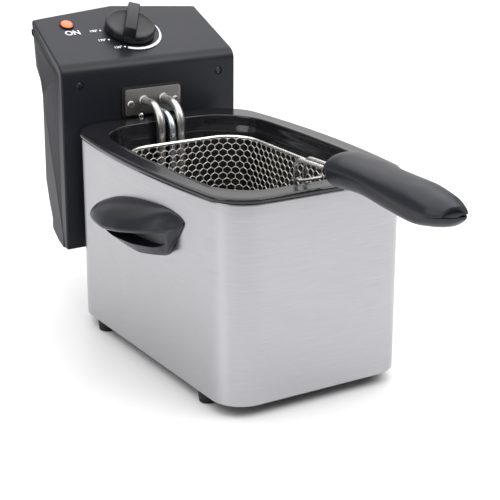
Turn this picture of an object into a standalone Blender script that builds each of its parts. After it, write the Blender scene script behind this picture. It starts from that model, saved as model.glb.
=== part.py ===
"""Compact electric deep fryer with a lift-off control unit, a lift-out oil bowl and a wire basket.

Lengths are metres, +Z is up and -Y is the front. Pieces are modelled about the middle of the steel
wrap's bottom edge, and the empty deep_fryer carries them onto the floor and centres the whole object.
"""
import math

import bmesh
import bpy
from mathutils import Vector

MM = 0.001
GAP = 0.3 * MM  # left between pieces that touch

# Place of the whole object: feet on z = 0, with the bounding box centred on x = 0 and y = 0.
FOOT_HEIGHT = 9 * MM
BODY_SHIFT_Y = 34.85 * MM

# Brushed steel wrap: a straight rounded rectangle at the bottom that swells to bowed sides at the top.
WRAP_HEIGHT = 150 * MM
WRAP_HALF_BOTTOM = 77.7 * MM
WRAP_HALF_TOP = 75.5 * MM
WRAP_SIDE_BOW = 10.6 * MM
WRAP_END_BOW = 0.5 * MM
WRAP_FRONT = -125 * MM
WRAP_BACK = 126 * MM
WRAP_CORNER_FRONT = 24.5 * MM
WRAP_CORNER_BACK = 30 * MM
WRAP_THICKNESS = 0.8 * MM

# Enamelled bowl: its flange lies over the wrap's edge, and the opening is a smaller bowed rectangle.
FLANGE_TOP = 154.6 * MM
BOWL_THICKNESS = 1.0 * MM
BOWL_BOTTOM = 15 * MM
OPENING_HALF = 66 * MM
OPENING_BOW = 5 * MM
OPENING_END_BOW = 2 * MM
OPENING_FRONT = -109 * MM
OPENING_BACK = 103 * MM
OPENING_CORNER_FRONT = 30 * MM
OPENING_CORNER_BACK = 38 * MM

# Control unit: it stands behind the wrap, with a flat front face and a sloping top panel.
UNIT_FRONT = 131.4 * MM
UNIT_HALF = 81.5 * MM
UNIT_TAPER = 4 * MM  # narrower by this much at the back, on each side
UNIT_DEPTH = 63 * MM
UNIT_BACK_BOW = 10 * MM
UNIT_WALL = 2.5 * MM
SEAM_DEPTH = 7 * MM  # how far the front cover wraps round the sides
PANEL_SLOPE = math.radians(25)
DIAL_CENTRE = Vector((0, 168.9 * MM, 219.4 * MM))

# Heating element and the parts round it.
TUBE_RADIUS = 3.25 * MM
TUBE_X = 9.3 * MM
TUBE_EXIT_Z = 168 * MM
TUBE_DROP_Y = 97.5 * MM
TUBE_BEND = 17 * MM
ELEMENT_Z = 30 * MM
SENSOR_RADIUS = 2.7 * MM
SENSOR_X = 1.0 * MM
SENSOR_Z = 160 * MM
PLATE_HALF = 26 * MM
PLATE_BOTTOM = 156.3 * MM
PLATE_TOP = 178.3 * MM
PLATE_SCREW_X = 21 * MM
PLATE_SCREW_Z = 165.8 * MM
PIN_X = -10.8 * MM
PIN_Z = 155.6 * MM
PIN_RADIUS = 2.6 * MM
COVER_SCREW_X = 65.4 * MM
COVER_SCREW_Z = 185.3 * MM

# Basket.
BASKET_HALF = 57 * MM
BASKET_FRONT = -99 * MM
BASKET_BACK = 82 * MM
BASKET_CORNER = 28 * MM
RIM_Z = 141 * MM
RIM_RADIUS = 1.6 * MM
BASKET_FLOOR = 34 * MM
PIVOT_Y = -92.5 * MM
PIVOT_Z = 138 * MM
LEG_X = 4 * MM
LEG_RADIUS = 1.5 * MM

COLOURS = {
    "steel": ((0.62, 0.62, 0.63), 0.32, 1.0),
    "chrome": ((0.75, 0.75, 0.76), 0.12, 1.0),
    "enamel": ((0.012, 0.012, 0.014), 0.12, 0.0),
    "black_plastic": ((0.022, 0.023, 0.027), 0.45, 0.0),
    "grip_plastic": ((0.035, 0.036, 0.042), 0.5, 0.0),
    "rubber": ((0.01, 0.01, 0.01), 0.8, 0.0),
    "lamp": ((0.9, 0.12, 0.02), 0.2, 0.0),
    "brass": ((0.7, 0.5, 0.2), 0.35, 1.0),
    "white_ceramic": ((0.8, 0.79, 0.75), 0.6, 0.0),
}

for old in list(bpy.data.objects):
    bpy.data.objects.remove(old, do_unlink=True)

PARTS = bpy.data.collections.new("deep_fryer")
CUTTERS = bpy.data.collections.new("cutters")
bpy.context.scene.collection.children.link(PARTS)
bpy.context.scene.collection.children.link(CUTTERS)
CUTTERS.hide_render = True

ROOT = bpy.data.objects.new("deep_fryer", None)
ROOT.location = (0, BODY_SHIFT_Y, FOOT_HEIGHT)
PARTS.objects.link(ROOT)

PANEL = bpy.data.objects.new("panel_frame", None)
PANEL.parent = ROOT
PANEL.location = DIAL_CENTRE
PANEL.rotation_euler = (PANEL_SLOPE, 0, 0)
PARTS.objects.link(PANEL)


# ---------------------------------------------------------------- materials and objects


def material_of(name):
    """A Principled material of this kind."""
    found = bpy.data.materials.get(name)
    if found:
        return found
    colour, roughness, metallic = COLOURS[name]
    made = bpy.data.materials.new(name)
    made.use_nodes = True
    shader = made.node_tree.nodes["Principled BSDF"]
    shader.inputs["Base Color"].default_value = (*colour, 1)
    shader.inputs["Roughness"].default_value = roughness
    shader.inputs["Metallic"].default_value = metallic
    return made


def add_object(name, mesh, material, parent=ROOT, location=(0, 0, 0), rotation=(0, 0, 0), angle=40):
    """A named sub-part, shaded smooth up to the given angle."""
    mesh.materials.append(material_of(material))
    mesh.shade_smooth()
    mesh.set_sharp_from_angle(angle=math.radians(angle))
    obj = bpy.data.objects.new(name, mesh)
    obj.parent = parent
    obj.location = location
    obj.rotation_euler = rotation
    PARTS.objects.link(obj)
    return obj


def add_cutter(name, mesh, parent=ROOT, location=(0, 0, 0), rotation=(0, 0, 0)):
    """A helper shape for a Boolean, left out of the model."""
    obj = bpy.data.objects.new(name, mesh)
    obj.parent = parent
    obj.location = location
    obj.rotation_euler = rotation
    obj.hide_render = True
    obj.display_type = "WIRE"
    CUTTERS.objects.link(obj)
    return obj


def boolean(obj, other, operation="DIFFERENCE"):
    """Cuts or joins with the exact solver."""
    modifier = obj.modifiers.new(f"{operation.lower()}_{other.name}", "BOOLEAN")
    modifier.operation = operation
    modifier.object = other
    modifier.solver = "EXACT"


def mesh_from(bm, name):
    mesh = bpy.data.meshes.new(name)
    bm.to_mesh(mesh)
    bm.free()
    return mesh


def loft_mesh(name, rings, cap_start=True, cap_end=True, closed_rings=True):
    """Skin through rings that all have the same number of points."""
    bm = bmesh.new()
    loops = [[bm.verts.new(point) for point in ring] for ring in rings]
    count = len(loops[0])
    for lower, upper in zip(loops, loops[1:]):
        for i in range(count if closed_rings else count - 1):
            j = (i + 1) % count
            bm.faces.new((lower[i], lower[j], upper[j], upper[i]))
    if cap_start:
        bm.faces.new(list(reversed(loops[0])))
    if cap_end:
        bm.faces.new(loops[-1])
    bmesh.ops.recalc_face_normals(bm, faces=bm.faces)
    return mesh_from(bm, name)


def round_mesh(name, radius_low, radius_high, low, high, segments=20):
    """Cylinder or cone along local Z from low to high."""
    bm = bmesh.new()
    bmesh.ops.create_cone(
        bm, cap_ends=True, segments=segments, radius1=radius_low, radius2=radius_high, depth=high - low
    )
    bmesh.ops.translate(bm, vec=(0, 0, (low + high) / 2), verts=bm.verts)
    return mesh_from(bm, name)


def box_mesh(name, low, high):
    """Box between two corners."""
    bm = bmesh.new()
    bmesh.ops.create_cube(bm, size=1)
    size = [b - a for a, b in zip(low, high)]
    centre = [(a + b) / 2 for a, b in zip(low, high)]
    bmesh.ops.scale(bm, vec=size, verts=bm.verts)
    bmesh.ops.translate(bm, vec=centre, verts=bm.verts)
    return mesh_from(bm, name)


def turned_mesh(name, profile, segments=20):
    """Solid of revolution about local Z through (radius, height) points from the bottom axis to the top axis."""
    rings = []
    for radius, height in profile:
        step = 2 * math.pi / segments
        rings.append([(radius * math.cos(k * step), radius * math.sin(k * step), height) for k in range(segments)])
    return loft_mesh(name, rings)


def tube_mesh(name, points, radius, sides=3, cyclic=False):
    """Round wire or tube along the points, with filled ends, as a mesh."""
    curve = bpy.data.curves.new(name + "_path", "CURVE")
    curve.dimensions = "3D"
    curve.bevel_depth = radius
    curve.bevel_resolution = sides
    curve.use_fill_caps = not cyclic
    spline = curve.splines.new("POLY")
    spline.points.add(len(points) - 1)
    for target, point in zip(spline.points, points):
        target.co = (*point, 1)
    spline.use_cyclic_u = cyclic
    holder = bpy.data.objects.new(name + "_path", curve)
    CUTTERS.objects.link(holder)
    graph = bpy.context.evaluated_depsgraph_get()
    mesh = bpy.data.meshes.new_from_object(holder.evaluated_get(graph))
    bpy.data.objects.remove(holder, do_unlink=True)
    bm = bmesh.new()
    bm.from_mesh(mesh)
    bmesh.ops.remove_doubles(bm, verts=bm.verts, dist=0.00001)
    bmesh.ops.recalc_face_normals(bm, faces=bm.faces)
    bm.to_mesh(mesh)
    bm.free()
    mesh.materials.clear()
    return mesh


def rounded_path(corners, radius, steps=5):
    """Points along straight runs joined by arcs of this radius at each inner corner."""
    corners = [Vector(corner) for corner in corners]
    path = [corners[0]]
    for before, corner, after in zip(corners, corners[1:], corners[2:]):
        inward = (before - corner).normalized()
        outward = (after - corner).normalized()
        half_turn = inward.angle(outward) / 2
        reach = radius / math.tan(half_turn)
        centre = corner + (inward + outward).normalized() * (radius / math.sin(half_turn))
        start = (corner + inward * reach - centre).normalized()
        end = (corner + outward * reach - centre).normalized()
        for step in range(steps + 1):
            path.append(centre + start.slerp(end, step / steps) * radius)
    path.append(corners[-1])
    return path


def outline(half, front, back, corner_front, corner_back, bow=0, end_bow=0, z=0, arc=5, straight=6):
    """Rounded rectangle seen from above, anticlockwise from the front left, whose sides swell by bow."""
    points = []

    def corner(cx, cy, radius, first):
        for k in range(arc + 1):
            angle = math.radians(first + 90 * k / arc)
            points.append((cx + radius * math.cos(angle), cy + radius * math.sin(angle)))

    def run(x0, y0, x1, y1):
        for k in range(1, straight):
            t = k / straight
            points.append((x0 + (x1 - x0) * t, y0 + (y1 - y0) * t))

    corner(-half + corner_front, front + corner_front, corner_front, 180)
    run(-half + corner_front, front, half - corner_front, front)
    corner(half - corner_front, front + corner_front, corner_front, 270)
    run(half, front + corner_front, half, back - corner_back)
    corner(half - corner_back, back - corner_back, corner_back, 0)
    run(half - corner_back, back, -half + corner_back, back)
    corner(-half + corner_back, back - corner_back, corner_back, 90)
    run(-half, back - corner_back, -half, front + corner_front)
    middle = (front + back) / 2
    reach = (back - front) / 2
    swollen = []
    for x, y in points:
        across = x / half
        along = (y - middle) / reach
        swollen.append((x + across * bow * (1 - along**2), y + along * end_bow * (1 - across**2), z))
    return swollen


def wrap_outline(z, offset=0):
    """The steel wrap's outline at this height, grown by offset."""
    rise = z / WRAP_HEIGHT
    half = WRAP_HALF_BOTTOM + (WRAP_HALF_TOP - WRAP_HALF_BOTTOM) * rise
    return outline(
        half + offset,
        WRAP_FRONT - offset,
        WRAP_BACK + offset,
        WRAP_CORNER_FRONT + offset,
        WRAP_CORNER_BACK + offset,
        WRAP_SIDE_BOW * rise,
        WRAP_END_BOW * rise,
        z,
    )


def wrap_side_x(y, z):
    """Distance from the middle plane to the wrap's side wall."""
    rise = z / WRAP_HEIGHT
    middle = (WRAP_FRONT + WRAP_BACK) / 2
    along = (y - middle) / ((WRAP_BACK - WRAP_FRONT) / 2)
    straight = WRAP_HALF_BOTTOM + (WRAP_HALF_TOP - WRAP_HALF_BOTTOM) * rise
    return straight + WRAP_SIDE_BOW * rise * (1 - along**2)


# ---------------------------------------------------------------- housing


def solidified(obj, thickness):
    """Gives an open surface its wall, on the side away from its normals."""
    modifier = obj.modifiers.new("wall", "SOLIDIFY")
    modifier.thickness = thickness
    modifier.offset = -1
    modifier.use_even_offset = True


def make_wrap():
    """Steel wrap with a narrow hem turned in at the bottom."""
    hem = 3 * MM
    rings = [wrap_outline(0, -hem), wrap_outline(0), wrap_outline(WRAP_HEIGHT / 2), wrap_outline(WRAP_HEIGHT)]
    mesh = loft_mesh("steel_body", rings, cap_start=False, cap_end=False)
    body = add_object("steel_body", mesh, "steel", angle=50)
    solidified(body, WRAP_THICKNESS)
    for hole in HANDLE_SCREWS:
        cutter = add_cutter(
            f"wrap_hole_{hole['name']}",
            round_mesh("hole", 2.0 * MM, 2.0 * MM, -6 * MM, 6 * MM, 12),
            location=(hole["side"] * wrap_side_x(hole["y"], hole["z"]), hole["y"], hole["z"]),
            rotation=(0, math.radians(90), 0),
        )
        boolean(body, cutter)


def make_base():
    """Plastic base plate that rests on the hem, with a hole for each foot's stem."""
    bottom = WRAP_THICKNESS + GAP
    rings = [wrap_outline(0, -1.3 * MM), wrap_outline(0, -1.3 * MM)]
    rings = [[(x, y, bottom) for x, y, _ in rings[0]], [(x, y, bottom + 3 * MM) for x, y, _ in rings[1]]]
    base = add_object("base_plate", loft_mesh("base_plate", rings), "black_plastic")
    for name, x, y in FEET:
        cutter = add_cutter(
            f"stem_hole_{name}", round_mesh("stem_hole", 2.7 * MM, 2.7 * MM, -2 * MM, 9 * MM, 12), location=(x, y, 0)
        )
        boolean(base, cutter)
        profile = [
            (0.2 * MM, -FOOT_HEIGHT),
            (5.7 * MM, -FOOT_HEIGHT),
            (6.5 * MM, -FOOT_HEIGHT + 0.8 * MM),
            (7.4 * MM, -GAP),
            (2.3 * MM, -GAP),
            (2.3 * MM, 3.4 * MM),
            (0.2 * MM, 3.4 * MM),
        ]
        add_object(name, turned_mesh(name, profile, 16), "rubber", location=(x, y, 0))


FEET = [
    (f"foot_{end}_{side}", sign * 70 * MM, y)
    for end, y in (("front", -82 * MM), ("rear", 83 * MM))
    for side, sign in (("left", -1), ("right", 1))
]

# Side handle along Y: top at the wall, height and reach of the hood's edge, reach and foot of the lower lip, bottom.
HANDLE_STATIONS = [
    (-70, 127.2, 125.3, 0.9, 0.3, 124.6, 123.4),
    (-66, 129.5, 122.5, 2.6, 1.2, 119.2, 117.6),
    (-61.5, 130.8, 120.3, 4.0, 2.7, 114.0, 112.0),
    (-55.5, 131.7, 118.4, 5.4, 4.9, 101.0, 105.0),
    (-50, 132, 117.6, 8.4, 5.2, 98.6, 98.0),
    (-45, 132, 116.6, 11.6, 5.6, 96.6, 95.0),
    (-30, 131, 114, 18.5, 6.3, 92.6, 91.0),
    (-9, 128.6, 110.4, 23.6, 6.8, 89.6, 88.0),
    (8, 126, 107.5, 24.0, 6.8, 89.6, 88.0),
    (28, 121.5, 106, 21.5, 6.2, 92.1, 90.5),
    (46, 115.5, 105, 17.0, 5.2, 95.4, 94.0),
    (58, 110.5, 103.5, 11.5, 3.8, 98.0, 97.0),
    (66, 106.5, 102.5, 4.0, 1.2, 99.6, 99.0),
]
HANDLE_SCREWS = [
    {"name": f"handle_screw_{side_name}_{end}", "side": side, "y": y * MM, "z": z * MM}
    for side_name, side in (("left", -1), ("right", 1))
    for end, y, z in (("front", -59.5, 120), ("rear", 56.5, 104))
]


def handle_section(side, station, hollow):
    """Closed outline of the handle, or of its finger recess, at one station."""
    y, top, edge, reach, lip, low, bottom = [value * MM for value in station]
    slim = min(1, reach / (8 * MM))
    lip_top = bottom + 0.36 * (edge - bottom)
    wall_top = wrap_side_x(y, top) + 0.4 * MM
    wall_bottom = wrap_side_x(y, bottom) + 0.4 * MM
    wall_edge = wrap_side_x(y, edge) + 0.4 * MM
    out = wall_edge + reach
    if not hollow:
        points = [
            (wall_top, top),
            (wall_top + 0.22 * reach, top - 0.06 * (top - edge)),
            (wall_edge + 0.68 * reach, edge + 0.46 * (top - edge)),
            (out - 0.4 * MM * slim, edge + 0.5 * MM * slim),
            (out, edge - 1.2 * MM * slim),
            (max(out - 1.2 * MM, wall_edge + lip), edge - 3.0 * MM * slim),
            (wall_bottom + lip, low),
            (wall_bottom, bottom),
        ]
    else:
        points = [
            (wall_top + 3.0 * MM, top - 6 * MM),
            (wall_edge + 0.6 * reach, edge + 0.3 * (top - edge) - 1.6 * MM),
            (out - 2.2 * MM, edge - 3.2 * MM),
            (out + 8 * MM, edge - 5.5 * MM),
            (out + 8 * MM, lip_top - 2 * MM),
            (wall_bottom + lip, lip_top),
            (wall_bottom + 3.0 * MM, lip_top + 1.5 * MM),
        ]
    ring = [(side * x, y, z) for x, z in points]
    return ring if side > 0 else list(reversed(ring))


def make_handles():
    """Scooped side handles, mirrored left to right, with a screw from inside the wrap at each end."""
    for side_name, side in (("left", -1), ("right", 1)):
        name = f"side_handle_{side_name}"
        solid = loft_mesh(name, [handle_section(side, station, False) for station in HANDLE_STATIONS])
        handle = add_object(name, solid, "grip_plastic", angle=35)
        inner = [station for station in HANDLE_STATIONS if -54 < station[0] < 50]
        hollow = loft_mesh("recess", [handle_section(side, station, True) for station in inner])
        boolean(handle, add_cutter(f"recess_{side_name}", hollow))
        for screw in HANDLE_SCREWS:
            if screw["side"] != side:
                continue
            centre = (side * wrap_side_x(screw["y"], screw["z"]), screw["y"], screw["z"])
            turn = (0, math.radians(90 * side), 0)
            bore = round_mesh("bore", 1.8 * MM, 1.8 * MM, -2 * MM, 3.4 * MM, 12)
            boolean(handle, add_cutter(f"bore_{screw['name']}", bore, location=centre, rotation=turn))
            profile = [
                (0.2 * MM, -4.4 * MM),
                (3.2 * MM, -4.4 * MM),
                (3.2 * MM, -1.9 * MM),
                (1.4 * MM, -1.9 * MM),
                (1.4 * MM, 3.0 * MM),
                (0.2 * MM, 3.0 * MM),
            ]
            mesh = turned_mesh(screw["name"], profile, 12)
            add_object(screw["name"], mesh, "steel", location=centre, rotation=turn)


def make_rim_seat():
    """Heat-proof ring clipped on the wrap's top edge, which carries the bowl's flange."""
    low = WRAP_HEIGHT + GAP
    high = FLANGE_TOP - BOWL_THICKNESS - GAP
    outer = wrap_outline(WRAP_HEIGHT, -1.2 * MM)
    inner = wrap_outline(WRAP_HEIGHT, -7 * MM)
    rings = [[(x, y, z) for x, y, _ in ring] for ring, z in ((outer, low), (outer, high), (inner, high), (inner, low))]
    mesh = loft_mesh("rim_seat", rings + [rings[0]], cap_start=False, cap_end=False)
    bm = bmesh.new()
    bm.from_mesh(mesh)
    bmesh.ops.remove_doubles(bm, verts=bm.verts, dist=0.00001)
    bmesh.ops.recalc_face_normals(bm, faces=bm.faces)
    bm.to_mesh(mesh)
    bm.free()
    add_object("rim_seat", mesh, "black_plastic")


def make_guides():
    """Rails on the back wall, on which the control unit slides down and rests."""
    for side_name, x in (("left", -30 * MM), ("right", 30 * MM)):
        low = (x - 3 * MM, WRAP_BACK + 0.7 * MM, 60 * MM)
        high = (x + 3 * MM, UNIT_FRONT + 3 * MM, 120 * MM)
        add_object(f"guide_rail_{side_name}", box_mesh("guide_rail", low, high), "black_plastic")


# ---------------------------------------------------------------- bowl


def opening_outline(z, inset=0):
    """The bowl's opening at this height, shrunk by inset."""
    return outline(
        OPENING_HALF - inset,
        OPENING_FRONT + inset,
        OPENING_BACK - inset * 0.5,
        max(OPENING_CORNER_FRONT - inset * 0.6, 8 * MM),
        max(OPENING_CORNER_BACK - inset * 0.6, 8 * MM),
        OPENING_BOW,
        OPENING_END_BOW,
        z,
    )


def make_bowl():
    """Enamelled bowl, from the flange's turned-down lip over the bead and down the walls to the bottom."""
    lip_low = WRAP_HEIGHT + 1.0 * MM

    def flange(offset, z):
        return [(x, y, z) for x, y, _ in wrap_outline(WRAP_HEIGHT, offset)]

    rings = [
        flange(1.5 * MM, lip_low),
        flange(1.5 * MM, FLANGE_TOP - 1.4 * MM),
        flange(0.2 * MM, FLANGE_TOP - 0.1 * MM),
        opening_outline(FLANGE_TOP, -4 * MM),
        opening_outline(FLANGE_TOP + 0.5 * MM, -1.5 * MM),
        opening_outline(FLANGE_TOP - 1.2 * MM, 0),
        opening_outline(FLANGE_TOP - 10 * MM, 0.4 * MM),
        opening_outline(FLANGE_TOP - 11 * MM, 2 * MM),
        opening_outline(40 * MM, 5 * MM),
        opening_outline(22 * MM, 9 * MM),
        opening_outline(BOWL_BOTTOM, 18 * MM),
    ]
    mesh = loft_mesh("oil_bowl", rings, cap_start=False, cap_end=True)
    bm = bmesh.new()
    bm.from_mesh(mesh)
    if sum(face.normal.z * face.calc_area() for face in bm.faces) < 0:
        bmesh.ops.reverse_faces(bm, faces=bm.faces)
    bm.to_mesh(mesh)
    bm.free()
    bowl = add_object("oil_bowl", mesh, "enamel", angle=50)
    solidified(bowl, BOWL_THICKNESS)


# ---------------------------------------------------------------- control unit

PANEL_RUN = 58 * MM
PANEL_END_Y = 194 * MM
PANEL_END_Z = 231.2 * MM
FRONT_PROFILE = [(131.4, 49.0), (131.4, 195.5), (133.0, 200.6), (137.2, 204.6), (193.5, 230.9)]
BACK_PROFILE = [
    (196.2, 229.6),
    (196.4, 226.5),
    (191.0, 192.0),
    (182.5, 183.0),
    (178.0, 172.0),
    (178.0, 98.0),
    (172.5, 81.0),
    (166.0, 67.0),
    (166.0, 57.0),
    (152.0, 49.0),
    (142.0, 46.5),
]


def unit_ring(profile, fraction, inset=0):
    """A side profile of (y, z) in mm carried to this fraction of the unit's half-width."""
    ring = []
    for y, z in profile:
        y, z = y * MM, z * MM
        narrower = UNIT_TAPER * max(0, y - UNIT_FRONT) / UNIT_DEPTH
        rise = min(max((y - 150 * MM) / (40 * MM), 0), 1)
        bow = UNIT_BACK_BOW * (1 - abs(fraction)) * rise * rise * (3 - 2 * rise)
        x = fraction * (UNIT_HALF - narrower - inset)
        slope = math.tan(PANEL_SLOPE) if y > 190 * MM and z > 225 * MM else 0
        ring.append((x, y + bow, z + bow * slope))
    return ring


def unit_solid(name, profile, inset=0, fractions=(-1, -0.5, 0, 0.5, 1)):
    """Solid of the unit's side profile across its whole width."""
    return loft_mesh(name, [unit_ring(profile, fraction, inset) for fraction in fractions])


def rod(name, radius, x, z, low, high, segments=16):
    """Cutter or piece along +Y between two depths."""
    mesh = round_mesh(name, radius, radius, 0, high - low, segments)
    return mesh, {"location": (x, low, z), "rotation": (math.radians(-90), 0, 0)}


def panel_cut(obj, name, radius, x=0.0, y=0.0, low=-12 * MM, high=8 * MM):
    cutter = add_cutter(name, round_mesh(name, radius, radius, low, high, 20), parent=PANEL, location=(x, y, 0))
    boolean(obj, cutter)


def face_cut(obj, name, radius, x, z, low=UNIT_FRONT - 4 * MM, high=UNIT_FRONT + 6 * MM):
    mesh, place = rod(name, radius, x, z, low, high)
    boolean(obj, add_cutter(name, mesh, **place))


def make_front_cover():
    """Front face and sloping panel in one moulding, wrapped a little way round the sides."""
    skin = FRONT_PROFILE + [(195.9, 230.4), (196.3, 226.8), (195.0, 220.8), (141.0, 195.7), (138.4, 193.0), (138.4, 47.8)]
    cover = add_object("control_front_cover", unit_solid("control_front_cover", skin), "black_plastic")
    inner = [
        (133.9, 51.5),
        (133.9, 195.0),
        (135.1, 198.7),
        (138.3, 201.8),
        (193.4, 227.5),
        (192.4, 217.0),
        (145.0, 194.0),
        (141.0, 190.0),
        (141.0, 51.5),
    ]
    boolean(cover, add_cutter("front_cover_inside", unit_solid("front_cover_inside", inner, UNIT_WALL)))
    for side, x in (("left", -TUBE_X), ("right", TUBE_X)):
        face_cut(cover, f"cover_hole_tube_{side}", TUBE_RADIUS + 0.4 * MM, x, TUBE_EXIT_Z)
        face_cut(cover, f"cover_hole_screw_{side}", 1.9 * MM, math.copysign(PLATE_SCREW_X, x), PLATE_SCREW_Z)
        mesh = box_mesh("rail_slot", (-3.4 * MM, UNIT_FRONT - 3 * MM, 40 * MM), (3.4 * MM, UNIT_FRONT + 3.4 * MM, 120.3 * MM))
        boolean(cover, add_cutter(f"rail_slot_{side}", mesh, location=(math.copysign(30 * MM, x), 0, 0)))
        screw_x = math.copysign(COVER_SCREW_X, x)
        face_cut(cover, f"cover_sink_{side}", 3.4 * MM, screw_x, COVER_SCREW_Z, high=UNIT_FRONT + 1.3 * MM)
        face_cut(cover, f"cover_bore_{side}", 1.9 * MM, screw_x, COVER_SCREW_Z)
    face_cut(cover, "cover_hole_sensor", SENSOR_RADIUS + 0.4 * MM, SENSOR_X, SENSOR_Z)
    face_cut(cover, "cover_hole_pin", PIN_RADIUS + 0.4 * MM, PIN_X, PIN_Z)
    panel_cut(cover, "cover_hole_shaft", 3.6 * MM)
    panel_cut(cover, "cover_hole_lamp", 5.2 * MM, LAMP_X, LAMP_Y)


LAMP_X = -51.4 * MM
LAMP_Y = 16.1 * MM


def make_rear_cover():
    """Rear shell: sides, back and bottom, with two long screw bosses, open towards the front cover."""
    shell = [(196.1, 226.3), (194.9, 220.4), (140.9, 195.2), (138.8, 192.9), (138.8, 47.2)] + list(reversed(BACK_PROFILE[2:]))
    cover = add_object("control_rear_cover", unit_solid("control_rear_cover", shell), "black_plastic")
    inner = [
        (193.2, 223.0),
        (190.0, 230.0),
        (130.0, 203.0),
        (130.0, 50.5),
        (142.0, 49.2),
        (151.3, 51.4),
        (163.5, 58.4),
        (163.5, 67.6),
        (170.1, 82.0),
        (175.5, 98.6),
        (175.5, 172.5),
        (180.3, 184.4),
        (188.7, 193.2),
    ]
    boolean(cover, add_cutter("rear_cover_inside", unit_solid("rear_cover_inside", inner, UNIT_WALL)))
    for side, x in (("left", -COVER_SCREW_X), ("right", COVER_SCREW_X)):
        mesh, place = rod("boss", 3.6 * MM, x, COVER_SCREW_Z, 134.6 * MM, 188 * MM, 12)
        boolean(cover, add_cutter(f"boss_{side}", mesh, **place), "UNION")
        mesh, place = rod("boss_bore", 1.7 * MM, x, COVER_SCREW_Z, 130 * MM, 152 * MM, 12)
        boolean(cover, add_cutter(f"boss_bore_{side}", mesh, **place))
    mesh, place = rod("reset_hole", 4.3 * MM, RESET_X, RESET_Z, 172 * MM, 196 * MM)
    boolean(cover, add_cutter("reset_hole", mesh, **place))
    mesh, place = rod("inlet_hole", 6.3 * MM, INLET_X, INLET_Z, 170 * MM, 196 * MM)
    boolean(cover, add_cutter("inlet_hole", mesh, **place))


RESET_X = -30 * MM
RESET_Z = 120 * MM
RESET_BACK = 182.6 * MM
INLET_X = 38 * MM
INLET_Z = 112 * MM


def make_plate():
    """Stainless element plate on its gasket, with the collars and screws."""
    holes = [(-TUBE_X, TUBE_EXIT_Z, TUBE_RADIUS), (TUBE_X, TUBE_EXIT_Z, TUBE_RADIUS), (SENSOR_X, SENSOR_Z, SENSOR_RADIUS)]
    screws = [(-PLATE_SCREW_X, PLATE_SCREW_Z, 1.5 * MM), (PLATE_SCREW_X, PLATE_SCREW_Z, 1.5 * MM)]
    pin = [(PIN_X, PIN_Z, PIN_RADIUS)]
    gasket_low, gasket_high = UNIT_FRONT - 1.5 * MM, UNIT_FRONT - GAP
    plate_low, plate_high = gasket_low - 1.9 * MM, gasket_low - GAP
    margin = 2 * MM
    for name, grow, low, high, material in (
        ("plate_gasket", margin, gasket_low, gasket_high, "rubber"),
        ("element_plate", 0, plate_low, plate_high, "steel"),
    ):
        corner_low = (-PLATE_HALF - grow, low, PLATE_BOTTOM - grow)
        corner_high = (PLATE_HALF + grow, high, PLATE_TOP + grow)
        piece = add_object(name, box_mesh(name, corner_low, corner_high), material)
        bevel = piece.modifiers.new("corners", "BEVEL")
        bevel.width = 2 * MM
        bevel.segments = 2
        bevel.limit_method = "WEIGHT"
        weights = piece.data.attributes.new("bevel_weight_edge", "FLOAT", "EDGE")
        for edge in piece.data.edges:
            a, b = [piece.data.vertices[i].co for i in edge.vertices]
            weights.data[edge.index].value = 1.0 if abs(a.y - b.y) > 0.5 * MM else 0.0
        for index, (x, z, radius) in enumerate(holes + screws + pin):
            face_cut(piece, f"{name}_hole_{index}", radius + 0.35 * MM, x, z)
    for side, x in (("left", -1), ("right", 1)):
        collar = turned_ring(4.7 * MM, TUBE_RADIUS + 0.3 * MM, 0, 2.6 * MM)
        name = f"tube_collar_{side}"
        place = (x * TUBE_X, plate_low - GAP - 2.6 * MM, TUBE_EXIT_Z)
        add_object(name, collar, "steel", location=place, rotation=(math.radians(-90), 0, 0))
        profile = [
            (0.2 * MM, -1.9 * MM),
            (2.2 * MM, -1.7 * MM),
            (3.1 * MM, -0.9 * MM),
            (3.1 * MM, -0.3 * MM),
            (1.5 * MM, -0.3 * MM),
            (1.5 * MM, 9 * MM),
            (0.2 * MM, 9 * MM),
        ]
        name = f"plate_screw_{side}"
        place = (x * PLATE_SCREW_X, plate_low, PLATE_SCREW_Z)
        add_object(name, turned_mesh(name, profile, 16), "chrome", location=place, rotation=(math.radians(-90), 0, 0))
        profile = [(0.2 * MM, 0), (3.0 * MM, 0), (3.0 * MM, 0.9 * MM), (1.5 * MM, 0.9 * MM), (1.5 * MM, 16 * MM), (0.2 * MM, 16 * MM)]
        name = f"cover_screw_{side}"
        place = (x * COVER_SCREW_X, UNIT_FRONT + 0.1 * MM, COVER_SCREW_Z)
        add_object(name, turned_mesh(name, profile, 12), "steel", location=place, rotation=(math.radians(-90), 0, 0))


def turned_ring(outer, inner, low, high, segments=20):
    """Plain ring about local Z."""
    step = 2 * math.pi / segments
    corners = ((inner, low), (outer, low), (outer, high), (inner, high))
    rings = [[(r * math.cos(k * step), r * math.sin(k * step), z) for r, z in corners] for k in range(segments)]
    mesh = loft_mesh("ring", rings + [rings[0]], cap_start=False, cap_end=False)
    bm = bmesh.new()
    bm.from_mesh(mesh)
    bmesh.ops.remove_doubles(bm, verts=bm.verts, dist=0.00001)
    bmesh.ops.recalc_face_normals(bm, faces=bm.faces)
    bm.to_mesh(mesh)
    bm.free()
    return mesh


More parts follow.
